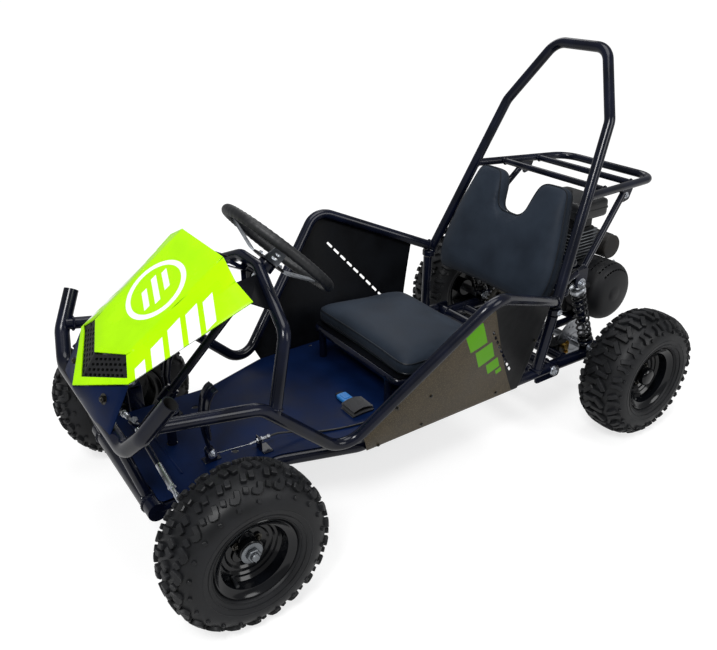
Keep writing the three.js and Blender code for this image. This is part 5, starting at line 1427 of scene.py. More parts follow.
@dataclass
class Seat:
    """The seat: cushion, backrest, their frame and board, and the lap belt."""

    cushion_half: float = 213.0
    front: float = -93.0
    rear: float = 218.0
    height: float = 50.0
    base: float = 277.0
    rise: float = 24.0
    back_foot: float = 340.0
    back_base: float = 366.0
    lean: float = 21.7
    back_half: float = 222.0
    back_length: float = 340.0
    back_thick: float = 45.0
    back_shares: tuple = ((0.9, 0), (1, 0.18), (1, 0.38), (0.95, 0.6), (0.8, 0.985), (0.44, 1), (0.33, 0.97),
                          (0.2, 0.7))
    pad_rows: tuple = ((0.3, 0.0), (0.1, 0.05), (0.03, 0.25), (0.0, 0.48), (0.04, 0.66), (0.16, 0.78),
                       (0.42, 0.86))
    seams: tuple = ((0.07, 0.8), (0.04, 0.16))
    board: tuple = ((-178, 27), (178, 211))
    board_bars: tuple = (0.3, 0.7)
    legs: tuple = ((-95.0, 211.8), (222.0, 195.0))
    leg_side: float = 150.4
    voxel: float = 5.0
    swell: float = 14.0
    pressure: float = 4.0
    cloth_frames: int = 20
    fill: float = 0.75

    def pan(self, y: Points | float) -> Points | float:
        """Gives the height of the seat pan at a place along the kart."""
        return self.base + (self.rear - y) * self.rise / (self.rear - self.front)

    def on_pan(self, plan: Points, height: Points) -> Points:
        """Places a plan and heights on the sloping seat pan."""
        return np.stack([plan[..., 0], plan[..., 1], self.pan(plan[..., 1]) + height], -1)

    def on_back(self, plan: Points, height: Points) -> Points:
        """Places a plan in front of the leaning backrest board.

        Args:
            plan: points across the board and up along it.
            height: how far they stand off it.

        Returns:
            The points.
        """
        lean = math.radians(self.lean)
        up = math.sin(lean) * Y + math.cos(lean) * Z
        foot = [0, self.back_foot, self.back_base]
        return foot + laid(plan, X, up) + np.asarray(height - self.back_thick)[..., None] * np.cross(up, -X)

    def rings(self, outline: Points, thick: float, place: Callable, crown: float) -> Points:
        """Stacks the outline into a pad: each ring has an inset and a height as shares of the thickness.

        Args:
            outline: the pad's plan.
            thick: its thickness.
            place: turns plan and height into a point.
            crown: share of the thickness that the middle stands over the rim.

        Returns:
            The grid of the pad's surface.
        """
        rows = [(inset(outline, depth * thick), height) for depth, height in self.pad_rows]
        middle = outline.mean(0)
        inner, rim = rows[-1]
        for share in (0.8, 0.6, 0.4, 0.2, 0.04):
            rows.append((middle + (inner - middle) * share, rim + crown * (1 - share**2)))
        return np.stack([place(plan, height * thick) for plan, height in rows])

    def puff(self, piece: bpy.types.Object) -> None:
        """Swells a pad by cloth simulation and keeps the result.

        The pad is remeshed to even cells, blown up for twenty frames without gravity, and each point keeps
        at most the swell's length of its move.

        Args:
            piece: the pad.
        """
        remesh = piece.modifiers.new("cells", "REMESH")
        remesh.mode, remesh.voxel_size = "VOXEL", self.voxel * MM
        settle(piece)
        rest = np.empty(3 * len(piece.data.vertices), np.float32)
        piece.data.vertices.foreach_get("co", rest)
        scene = bpy.context.scene
        cloth = piece.modifiers.new("cloth", "CLOTH")
        cloth.settings.use_pressure = True
        cloth.settings.uniform_pressure_force = self.pressure
        cloth.settings.effector_weights.gravity = 0.0
        for step in range(self.cloth_frames):
            scene.frame_set(step + 1)
        settle(piece)
        scene.frame_set(1)
        moved = np.empty_like(rest)
        piece.data.vertices.foreach_get("co", moved)
        way = (moved - rest).reshape(-1, 3)
        far = np.linalg.norm(way, axis=1, keepdims=True)
        way *= np.minimum(1.0, self.swell * MM / np.maximum(far, NEVER))
        way = self.evened(piece, way)
        piece.data.vertices.foreach_set("co", (rest.reshape(-1, 3) + way).ravel())
        relax = piece.modifiers.new("relax", "SMOOTH")
        relax.factor, relax.iterations = 0.5, 6
        fine = piece.modifiers.new("fine", "SUBSURF")
        fine.levels = fine.render_levels = 1
        settle(piece)
        smooth(piece.data)

    def evened(self, piece: bpy.types.Object, way: Points, rounds: int = 40) -> Points:
        """Takes the creases out of the moves of a mesh's points.

        In each round a point's move becomes the mean of its neighbours' moves.

        Args:
            piece: the mesh.
            way: the move of each point.
            rounds: how often the mean is taken.

        Returns:
            The evened moves.
        """
        pairs = np.empty(2 * len(piece.data.edges), np.int32)
        piece.data.edges.foreach_get("vertices", pairs)
        ends, others = pairs, pairs.reshape(-1, 2)[:, ::-1].ravel()
        count = np.maximum(np.bincount(ends, minlength=len(way)), 1)
        for _ in range(rounds):
            way = np.stack([np.bincount(ends, way[others, k], len(way)) / count for k in range(3)], 1)
        return way

    def welt(self, piece: bpy.types.Object, path: Points, radius: float) -> Points:
        """Moves a closed path onto the nearest points of a pad, and evens it three times.

        Args:
            piece: the pad.
            path: the points, near the pad.
            radius: how far they stand off its surface.

        Returns:
            The points on the surface.
        """
        corners, faces = [v.co for v in piece.data.vertices], [p.vertices for p in piece.data.polygons]
        tree = BVHTree.FromPolygons(corners, faces)
        nearest = [tree.find_nearest(point.tolist())[:2] for point in packed(path)]
        line = np.array([[*(at + normal * radius * MM)] for at, normal in nearest])
        for _ in range(3):
            line = (np.roll(line, 1, 0) + 2 * line + np.roll(line, -1, 0)) / 4
        return line / MM + KART_SHIFT * Y

    def pad(self, name: str, node: str, outline: Points, thick: float, place: Callable, crown: float) -> None:
        """Builds a pad with its two welt seams.

        Args:
            name: the piece's name.
            node: the node that it stands for.
            outline: its plan.
            thick: its thickness.
            place: turns plan and height into a point.
            crown: how far its middle stands over its rim, as a share of the thickness.
        """
        shell = Shell().grid(self.rings(outline, thick, place, crown))
        piece = shell.build(name, "chassis", "seat_vinyl", [SEAT_VINYL], (node,), 60)
        self.puff(piece)
        seams = Shell()
        for depth, height in self.seams:
            path = self.welt(piece, place(inset(outline, depth * thick), height * thick), 0.6)
            seams.tube(path, 2.0, 10, closed=True)
        seams.build(name + "_welts", "chassis", "seat_vinyl", [SEAT_WELT])

    def cushions(self) -> None:
        """Builds the seat cushion and the backrest with its notched top."""
        half, front, rear = self.cushion_half, self.front, self.rear
        corners = [[-half, front], [half, front], [half * 0.96, rear], [-half * 0.96, rear]]
        plan = self.fine(rounded_outline(inset(np.array(corners, float), 3), 42, 10))
        self.pad("seat_cushion_vinyl", "seat_cushion", plan, self.height, self.on_pan, 0.12)
        right = np.array(self.back_shares) * [self.back_half, self.back_length]
        both = np.vstack([right, (right * [-1, 1])[::-1]])
        plan = self.fine(rounded_outline(inset(both, 3), 24, 8))
        self.pad("seat_backrest_vinyl", "seat_backrest", plan, self.back_thick, self.on_back, 0.1)

    def fine(self, outline: Points, count: int = 220) -> Points:
        """Spaces the points of a closed outline evenly."""
        loop = np.vstack([outline, outline[:1]])
        return spots(loop, np.linspace(0, walk(loop)[-1], count, endpoint=False))

    def carriers(self, frame: Frame) -> None:
        """Builds the seat frame with its pan and legs, and the board and bars behind the backrest.

        Args:
            frame: the frame that carries them.
        """
        loop = plate((-188, -95), (188, 222), 30, 6)
        shell = Shell().tube(self.on_pan(loop, -12.8), 10, 18, closed=True)
        for y, z in self.legs:
            for x in (-self.leg_side, self.leg_side):
                shell.tube([[x, y, z], [x, y, self.pan(y) - 6]], 10, 16)
        plan = plate((-191, -95), (191, 202), 20, 4)
        shell.grid(np.stack([self.on_pan(plan, height) for height in (-4.8, -0.4)]), slot=1)
        shell.build("seat_frame_tubes", "chassis", "bare_steel", [FRAME_COAT, PANEL_BACK], ("seat_frame",))
        shell = Shell()
        board = plate(*self.board, 22)
        rows = ((inset(board, 1), -0.4), (board, -1.4), (board, -8.4), (inset(board, 1), -9.4))
        shell.grid(np.stack([self.on_back(plan, height) for plan, height in rows]), slot=1)
        foot, shoulder = frame.hoop[0][2], frame.hoop[1][2]
        for share in self.board_bars:
            height = self.back_base + share * (shoulder - foot) * 0.4
            legs = [frame.leg(height, side) for side in Side]
            up = (height - self.back_base) / math.cos(math.radians(self.lean))
            back = max(legs[0][1] + 20, self.on_back(np.array([0.0, up]), -9.4)[1] + 6)
            corners = [legs[0], [legs[0][0], back, height], [legs[1][0], back, height], legs[1]]
            shell.tube(rounded_path(corners, 20, 6), 10, 18)
            for x in (-120, 120):
                shell.bolt([x, back + 9, height], Y, 9, 2)
        shell.steel("seat_back_board", "seat_back_frame", PANEL_BACK, ZINC)

    def belt(self) -> None:
        """Builds the lap belt: webbing folded on itself in flat turns, and the buckle with its tongue.

        Each fold runs to and fro about the buckle's middle, bulges by a cosine, and swings up to the next
        one by half a circle.
        """
        y_middle, rise = -172, 3.4
        rows = []
        for turn in range(4):
            z, x = 212.4 + turn * rise, 127 + 3.5 * math.sin(2.1 * turn)
            lean = 1 if turn % 2 == 0 else -1
            ends = (y_middle - lean * (30 - 2 * turn), y_middle + lean * (30 - 4 * (turn % 2)))
            bulge = 2.6 * turn
            rows += [[x, y, z + bulge * math.cos((y - y_middle) / 21)] for y in np.linspace(*ends, 14)]
            swing = np.linspace(-math.pi / 2, math.pi / 2, 7)[1:-1]
            if turn < 3:
                rows += [[x, ends[1] + lean * 2.6 * math.cos(a), z + (1 + math.sin(a)) * rise / 2]
                         for a in swing]
        path = np.array(rows)
        wide = np.array([[-27, 0], [-26, 0.7], [26, 0.7], [27, 0], [26, -0.7], [-26, -0.7]])
        up = np.cross(unit(np.gradient(path, axis=0)), X)
        fold = Shell().grid(path[:, None] + laid(wide, X, up[:, None]))
        fold.build("lap_belt_webbing", "chassis", "webbing", [WEBBING], ("belt_pad",))
        buckle = Shell()
        for size, radius, x, z, depth, bevel, slot in (((42, 30), 7, 75, 212, 10, 2.2, 0),
                                                       ((26, 16), 3, 73, 221.4, 2.2, 0.8, 0),
                                                       ((16, 22), 3, 52, 215, 4, 1, 1)):
            buckle.prism(rectangle(*size, radius), [x, y_middle, z], Z, depth, bevel, X, slot)
        finishes = [BUCKLE_NYLON, BLACK_MOULDED]
        buckle.build("lap_belt_buckle", "chassis", "buckle_plastic", finishes, ("belt_buckle",))

    def build(self, frame: Frame) -> None:
        """Builds the seat on the frame."""
        self.cushions()
        self.carriers(frame)
        self.belt()


@dataclass(frozen=True)
class Lug:
    """A tread bar: its middle line across and along the tyre, its half width and its height."""

    line: tuple[tuple[float, float], ...]
    half: float
    height: float


FRONT_TREAD = (
    Lug(((4, 2), (24, 8)), 6.0, 9.0),
    Lug(((6, 19), (27, 27)), 6.0, 9.0),
    Lug(((36, -2), (57, 7), (47, 22)), 5.8, 8.5),
    Lug(((37, 30), (50, 36)), 5.4, 8.0),
    Lug(((66, 12), (74, 15)), 4.6, 4.5),
)
REAR_TREAD = (
    Lug(((-7, 2), (30, 4)), 6.4, 10.0),
    Lug(((3, 18), (30, 47)), 6.4, 10.0),
    Lug(((41, 6), (62, -4)), 6.4, 9.0),
    Lug(((40, 24), (58, 21), (70, 31)), 5.6, 8.0),
    Lug(((68, 4), (77, 2)), 4.6, 5.0),
)


@dataclass
class Tyre:
    """A tubeless off road tyre: a smooth round carcass and rows of tread bars."""

    tread: tuple[Lug, ...]
    pitches: int
    middle: tuple[float, float, float]
    radius: float = 177.5
    section: tuple = ((0, 167.6), (24, 166.6), (42, 162.5), (55, 154), (64, 141), (68.4, 126), (68, 112),
                      (63.5, 100), (57.5, 93.5), (52, 92))
    bead: tuple = ((51, 92.3), (46.5, 78), (-46.5, 78), (-51, 92.3))
    ribs: tuple = ((66.2, 118), (64.8, 106), (59.5, 97))
    widths: tuple = (0.72, 0.78, 1, 1, 1, 1, 1, 1, 0.78, 0.72)
    rises: tuple = (-0.3, 0.8, 1, 1, 1, 1, 1, 1, 0.8, -0.3)
    bar: tuple = ((-1.12, -0.3), (-1.0, 0.82), (-0.84, 1.0), (0.84, 1.0), (1.0, 0.82), (1.12, -0.3))

    def curve(self) -> Points:
        """Gives half the carcass section, from the crown to the bead, smoothed by cutting its corners.

        Returns:
            Rows of the distance along the section, the place across the tyre and the radius.
        """
        line = np.array(self.section, float)
        for _ in range(3):
            cuts = np.stack([0.75 * line[:-1] + 0.25 * line[1:], 0.25 * line[:-1] + 0.75 * line[1:]], 1)
            line = np.vstack([line[:1], cuts.reshape(-1, 2), line[-1:]])
        return np.column_stack([walk(line), line])

    def skin(self, across: Points, around: Points, height: Points) -> Points:
        """Places points on the tyre.

        A point lies on the section at its signed distance from the crown, is moved along the section's
        normal by its height, and is then turned round the axle.

        Args:
            across: signed distance from the crown along the section.
            around: distance along the tread, at the tyre's full radius.
            height: distance off the carcass.

        Returns:
            The points, about the wheel's middle.
        """
        walked, x, r = self.curve().T
        slope = np.gradient(np.column_stack([x, r]), walked, axis=0)
        far = np.abs(across)
        nx, nr = -np.interp(far, walked, slope[:, 1]), np.interp(far, walked, slope[:, 0])
        size = np.hypot(nx, nr)
        radius = np.interp(far, walked, r) + height * nr / size
        side = np.sign(across + NEVER) * (np.interp(far, walked, x) + height * nx / size)
        angle = around / self.radius
        points = np.broadcast_arrays(side, radius * np.cos(angle), radius * np.sin(angle))
        return np.stack(points, -1) + self.middle

    def lug(self, shell: Shell, lug: Lug, start: float, side: float) -> None:
        """Adds one tread bar: a chamfered profile carried along its line, with its ends let into the carcass.

        Args:
            shell: what it is added to.
            lug: the bar.
            start: where its pitch starts along the tread.
            side: one for the left half of the tread and minus one for the right half.
        """
        corners = np.column_stack([np.array(lug.line, float), np.zeros(len(lug.line))])
        line = rounded_path(corners, 7, 3)[:, :2]
        length = walk(line)[-1]
        ends = np.array([0, 0.6, 2.8]) / length
        line = spots(line, np.concatenate([ends, np.linspace(0.25, 0.75, 4), 1 - ends[::-1]]) * length)
        along = unit(np.gradient(line, axis=0))
        over, tall = np.transpose(self.bar)
        wide = over * np.array(self.widths)[:, None] * lug.half
        height = np.minimum(tall, np.array(self.rises)[:, None]) * lug.height
        across, around = line[:, :1] - along[:, 1:] * wide, line[:, 1:] + along[:, :1] * wide
        shell.grid(self.skin(side * across, start + around, height))

    def build(self, name: str, body: str, node: str, turn: float) -> None:
        """Builds the tyre.

        Args:
            name: the piece's name.
            body: the body that it rides on.
            node: the node that it stands for.
            turn: one or minus one, the way that the tread points.
        """
        half = self.curve()
        sign = np.concatenate([-half[::-1, 0], half[1:, 0]])
        outside = self.skin(sign[:, None], angles(120) * self.radius, np.zeros((1, 1)))
        inside = np.stack([along_x(x, circle(radius, 120)) for x, radius in self.bead]) + self.middle
        shell = Shell().grid(np.vstack([outside, inside]), along=True)
        for x, radius in self.ribs:
            for side in (1, -1):
                loop = along_x(side * (x + 1.4), circle(radius, 120)) + self.middle
                shell.tube(loop, 1.5, 6, closed=True)
        pitch = 2 * math.pi * self.radius / self.pitches
        for step in range(self.pitches):
            for lug in self.tread:
                self.lug(shell, self.turned_lug(lug, turn), step * pitch, 1.0)
                self.lug(shell, self.turned_lug(lug, turn), (step + 0.5) * pitch, -1.0)
        shell.build(name, body, "tyre_rubber", [TYRE_RUBBER], (node,), 28)

    def turned_lug(self, lug: Lug, turn: float) -> Lug:
        """Gives a lug that points the other way round when turn is minus one."""
        return Lug(tuple((across, along * turn) for across, along in lug.line), lug.half, lug.height)


@dataclass
class Wheel:
    """A pressed steel wheel with its tyre."""

    front: bool
    side: Side
    middle: tuple[float, float, float]
    body: str
    rim: tuple = ((51, 92), (49.5, 91), (46, 77.4), (-46, 77.4), (-49.5, 91), (-51, 92), (-54, 92), (-56, 89),
                  (-54.5, 86.5), (-51.5, 84), (-47, 74), (-10, 73.5), (2, 72), (3.2, 66), (3, 30), (3, 27),
                  (-34, 27))
    face: tuple = ((30, 21), (28, 24), (10, 26.5), (9, 30), (9.4, 45), (13.2, 49.5), (13.8, 57), (17.4, 61),
                   (18.2, 66), (24, 71.6), (47, 73.6), (51.5, 84), (54.5, 86.5), (56, 89), (54, 92))
    valve: tuple = ((0, 0), (0, 5), (3, 5.6), (6, 4), (18, 3.6), (19, 4.4), (27, 4.4), (28, 3.4), (28, 0))
    valve_turn: float = -2.5  # radians from straight up, to the rear

    def build(self) -> None:
        """Builds the rim with its stepped face, lobed hub flange and valve, then the tyre."""
        end, bore = ("front", 10.4) if self.front else ("rear", 12.8)
        s, name = self.side.value, f"{end}_{self.side.word}"
        middle, out = np.array(self.middle, float), s * X
        profile = [*self.rim, (-34, bore), (30, bore), *self.face]
        shell = Shell().turned(profile, middle, out, 96, closed=True)
        angle = angles(72)
        lobes = (31 + 6.5 * np.cos(3 * angle))[:, None] * heading(angle)
        shell.prism(lobes, middle + 9 * out, out, 5, 1.2, Z)
        for turn in (30, 270, 150):
            shell.bolt(about_x(middle, s * 13.5, 31 * 0.9, turn), out, 9, 1)
        way = np.array([0, math.sin(self.valve_turn), math.cos(self.valve_turn)])
        shell.turned(self.valve, middle + 17.5 * out + 65 * way, out + 0.15 * way, 14, slot=2)
        finishes = [RIM_ENAMEL, CHAIN_STEEL, CABLE_SLEEVE]
        shell.build("rim_steel_" + name, self.body, "black_rim_paint", finishes, ("rim_" + name,))
        tread, pitches = (FRONT_TREAD, 22) if self.front else (REAR_TREAD, 20)
        Tyre(tread, pitches, self.middle).build("tyre_treaded_" + name, self.body, "tyre_" + name, s)


@dataclass
class Steering:
    """The steering wheel, its column and pitman arm, the tie rods and the knuckles."""

    ring: float = 142.0
    grip: float = 12.5
    column: float = 504.8
    kingpin: float = 273.0
    axle: tuple = (-600.0, 177.5)
    stub: float = 385.9
    spoke_turns: tuple = (90, 210, 330)
    spoke: tuple = ((14, -35.5), (44, -35.5), (50, -35), (56, -33), (128, -6), (138, -1.6))
    spoke_half: tuple = (19, 19, 19, 18.6, 14, 13.4)
    spoke_holes: tuple = ((76, -25.5, 8.5), (100, -16.5, 7))
    hub: tuple = ((-38, 0), (-38, 41), (-37, 42), (-33.6, 42), (-32.4, 40), (-31.8, 12), (-29, 9), (-29, 0))
    rod_outer: tuple = (264.0, -680.0, 239.8)
    rod_inner: tuple = (22.0, -683.0, 299.0)
    thread_turns: int = 13

    def place(self, points: Points) -> Points:
        """Turns points from the wheel's own frame, with the column down -Z, into the kart's frame."""
        frame_axes = np.stack([X, np.cross(X, DOWN_COLUMN), -DOWN_COLUMN])
        return np.asarray(points, float) @ frame_axes + WHEEL_MIDDLE

    def wheel(self) -> None:
        """Builds the grip with its finger ridges, the pressed spokes with holes, and the hub plate."""
        angle = angles(180)
        path = self.ring * np.column_stack([heading(angle), 0 * angle])
        thick = self.grip - 0.5 + 0.5 * np.cos(60 * angle)
        shell = Shell().tube(self.place(path), thick, 24, closed=True)
        shell.build("steering_wheel_grip", "steering", "black_plastic", [GRIP_FOAM], ("steering_wheel",))
        spokes, holes = Shell(), Shell()
        reach, half = np.array(self.spoke), np.array(self.spoke_half)
        slope = unit(np.gradient(reach, axis=0))
        lower = np.array([[-1, -2], [-0.94, -2], [0.94, -2], [1, -2]])
        section = np.vstack([lower, -lower])
        for turn in self.spoke_turns:
            out = np.array([math.cos(math.radians(turn)), math.sin(math.radians(turn)), 0])
            wide = np.cross(Z, out)
            normal = slope[:, :1] * Z - slope[:, 1:] * out
            ring = laid(section, half[:, None, None] * wide, normal[:, None])
            spokes.grid(self.place(laid(reach, out, Z)[:, None] + ring))
            tall = unit(-0.351 * out + 0.936 * Z)
            for r, z, size in self.spoke_holes:
                base = self.place(r * out + z * Z - 12 * tall)
                holes.prism(circle(size, 20), base, self.place(tall) - WHEEL_MIDDLE, 24, 0.1)
        carve(spokes.build("steering_wheel_spokes", "steering", "black_plastic", [SPOKE_PAINT]), holes)
        hub = Shell().turned(self.hub, WHEEL_MIDDLE, -DOWN_COLUMN, 48)
        for turn in (30, 150, 270):
            hub.bolt(self.place([*31 * heading(math.radians(turn)), -32.4]), -DOWN_COLUMN, 8, 1)
        hub.bolt(self.place([0, 0, -29]), -DOWN_COLUMN, 13, 1)
        hub.build("steering_wheel_hub", "steering", "black_plastic", [BLACK_MOULDED, ZINC])

    def shaft(self) -> None:
        """Builds the column with its flange, set collars and pitman arm with its ball stud."""
        up = -DOWN_COLUMN
        shell = Shell().tube(self.place([[0, 0, -38.4], [0, 0, -self.column]]), 10, 24)
        flange = [[-58, 9.9], [-58, 20], [-56, 21], [-40, 21], [-38.5, 20], [-38.5, 9.9]]
        shell.turned(flange, WHEEL_MIDDLE, up, 32, closed=True)
        for z in (-120, -396):
            set_collar = [[z - 6, 9.9], [z - 6, 15], [z + 6, 15], [z + 6, 9.9]]
            shell.turned(set_collar, WHEEL_MIDDLE, up, 28, closed=True)
        plan, low = plate((-9, 12), (9, -39), 8), -self.column
        rows = ((inset(plan, 1), low), (plan, low + 1), (plan, low + 7), (inset(plan, 1), low + 8))
        shell.grid(self.place(np.stack([laid(ring, X, Y) + z * Z for ring, z in rows])))
        shell.bolt(self.place([0, -30, low + 8]), up, 13, 1)
        shell.steel("steering_column_shaft", "steering_column", ZINC, body="steering")

    def knuckle(self, side: Side) -> None:
        """Builds one knuckle with its steering arm, its stub and its wheel nut.

        Args:
            side: the side of the kart.
        """
        s, out = side.value, side.value * X
        pin = np.array([s * self.kingpin, *self.axle])
        shell = Shell().turned(collar(-56, 56, 8.9, 15, 2), pin, Z, 36, closed=True)
        shell.turned([[13, 11.5], [20, 15.5], [43, 19], [46.5, 19], [48, 17], [48, 9]], pin, out, 36)
        shell.tube([pin + 40 * out, pin + 127 * out], 9.5, 24)
        plan = np.array([[-12, -10], [12, -10], [12, 8], [1, 86], [-19, 86], [-13, 8]]) * [1, -1]
        shell.prism(rounded_outline(plan, 7, 4) * [s, 1], pin + 46 * Z, Z, 8, 1, X)
        nut = np.array([s * self.stub, *self.axle])
        washer = [[0, 9], [0, 22], [1.5, 23.5], [3.5, 23.5], [5, 20], [5, 9]]
        shell.turned(washer, nut, out, 36, closed=True, slot=1)
        shell.prism(circle(15.2, 6), nut + 5 * out, out, 9, 1.6, slot=1)
        shell.turned([[10, 0], [10, 9], [19, 9], [21, 7.4], [21, 0]], nut, out, 24, slot=1)
        shell.tube([nut + 17 * out - 13 * Z, nut + 17 * out + 13 * Z], 1.3, 8, slot=1)
        name = "knuckle_" + side.word
        shell.steel("knuckle_forged_" + side.word, name, CAST_METAL, body=name)

    def tie_rod(self, side: Side) -> None:
        """Builds one tie rod with its threaded ends, lock nuts and outer ball joint.

        A thread is a fine tube on a helix: it goes round the rod as it goes along it.

        Args:
            side: the side of the kart.
        """
        eye, inner = sided([self.rod_outer, self.rod_inner], side)
        way, length = unit(inner - eye), float(np.linalg.norm(inner - eye))
        rod = Shell()
        for start, end, radius, sides, slot in (
            (9, 72, 5, 16, 1), (64, 128, 7.0, 20, 1),
            (126, length - 34, 6.5, 20, 0), (length - 40, length - 6, 5, 16, 1),
        ):
            rod.tube([eye + way * start, eye + way * end], radius, sides, slot=slot)
        turns = np.linspace(0, 1, 12 * self.thread_turns)
        for start in (12.0, length - 38.0):
            helix = laid(heading(turns * 2 * math.pi * self.thread_turns), *axes(way)[:2])
            rod.tube(eye + way * (start + turns[:, None] * 30) + 5.0 * helix, 0.8, 5, slot=1)
        for at in (58.0, length - 42.0):
            rod.prism(circle(8.8, 6), eye + way * at, way, 7, 0.8, slot=1)
        rod.turned(collar(-8, 8, 6, 11, 3, 1.5), eye, Z, 28, closed=True, slot=1)
        ball = [[-10.5, 0], [-10.5, 4.4], [-6, 5], [-4, 7.4], [0, 8.2], [4, 7.4], [6, 5], [10, 4.4], [10, 0]]
        rod.turned(ball, eye + 0.5 * Z, Z, 24, slot=1)
        rod.bolt(eye + 9.5 * Z, Z, 11, 1)
        name = "tie_rod_" + side.word
        rod.build("tie_rod_threaded_" + side.word, name, "zinc_plate", [FRAME_COAT, ZINC], (name,))

    def build(self) -> None:
        """Builds the steering."""
        self.wheel()
        self.shaft()
        for side in Side:
            self.knuckle(side)
            self.tie_rod(side)


@dataclass
class Pedal:
    """A pedal on its bracket: a curved arm with a ribbed pad."""

    side: Side
    reach: float = -553.0
    rise: float = 231.3
    height: float = 165.0
    apart: float = 108.0
    wall: float = 12.3
    blade: tuple = ((0, 0), (-0.06, 0.3), (-0.07, 0.6), (-0.02, 0.85), (0.06, 0.97), (0.13, 1))

    def build(self) -> None:
        """Builds the arm, the pad with its ribs and turned-over top, and the bracket with its pin."""
        word = "brake" if self.side is Side.LEFT else "throttle"
        hinge = np.array([self.side.value * self.apart, self.reach, self.rise])
        path = rounded_path(hinge + np.pad(self.blade, ((0, 0), (1, 0))) * self.height, 60, 5)
        front = np.cross(unit(np.gradient(path, axis=0)), X)
        front = front * -np.sign(front[:, 1:2] + NEVER)
        arm = Shell().grid(path[:, None] + laid(rectangle(12, 9, 3, 3), X, front[:, None]))
        arm.turned(collar(-6, 6, 5.9, 10, 1, 0.6), hinge, X, 28, closed=True)
        high = path[:, 2] > self.rise + 0.15 * self.height
        path, rear = path[high], front[high] * np.sign(front[high, 1:2] + NEVER)
        arm.grid(path[:, None] + laid(rectangle(46, 6, 2.6, 3) + [0, 3.5], X, rear[:, None]))
        arm.build(word + "_pedal_arm", word + "_pedal", "black_plastic", [FRAME_COAT], (word + "_pedal",))
        ribs, walked = Shell(), walk(path)
        for step in np.arange(7, walked[-1] - 3, 8.5):
            out = rear[int(np.argmin(abs(walked - step)))]
            ribs.prism(rectangle(40, 4.2, 1.6, 3), spots(path, [step])[0] + out * 6.4, out, 2.6, 0.7, X)
        ribs.build(word + "_pedal_ribs", word + "_pedal", "black_plastic", [BLACK_MOULDED])
        self.bracket(hinge)
        if self.side is Side.LEFT:
            self.adjuster()

    def bracket(self, hinge: Points) -> None:
        """Builds the bracket with its two lugs, its pin and nuts.

        Args:
            hinge: the middle of the pin.
        """
        x, y = hinge[:2]
        base = [x, y, 211.8]
        shell = Shell().block(base - self.wall * X - 20 * Y, base + self.wall * X + 20 * Y + 2.6 * Z, 1)
        lug = plate((-10, 0.6), (10, 30), 8)
        for low in (x - self.wall, x + 6.5):
            shell.prism(lug, [low, y, 211.3], X, 5.8, 0.7, Y)
        shell.tube([hinge - 12.2 * X, hinge + 12.2 * X], 5, 16, slot=1)
        for way in (-1, 1):
            shell.bolt(hinge + way * self.wall * X, way * X, 11, 1)
        shell.steel("pedal_bracket_steel_" + self.side.word, "pedal_bracket_" + self.side.word, ZINC)

    def adjuster(self) -> None:
        """Builds the brake cable's adjuster: a threaded barrel with two nuts through an upright plate."""
        front, rear = np.array([137.0, -472, 235]), np.array([134.5, -420, 235])
        way = unit(rear - front)
        shell = Shell().block([124, -449, 211.4], [148, -445, 244], 1)
        shell.block([124, -449, 211.4], [162, -424, 214.4], 1)
        barrel = [[0, 0], [0, 2.6], [18, 2.6], [18, 4], [44, 4], [46, 5.4], [52, 5.4], [52.4, 4.6], [52.4, 0]]
        shell.turned(barrel, front, way, 20, slot=1)
        for start in (18, 29):
            shell.prism(circle(7, 6), front + way * start, way, 5, 0.6, slot=1)
        shell.tube([front + way, [121, -543, 231]], 0.9, 8, slot=1)
        shell.build("brake_cable_adjuster", "chassis", "black_frame_paint", [FRAME_COAT, BARE_STEEL])


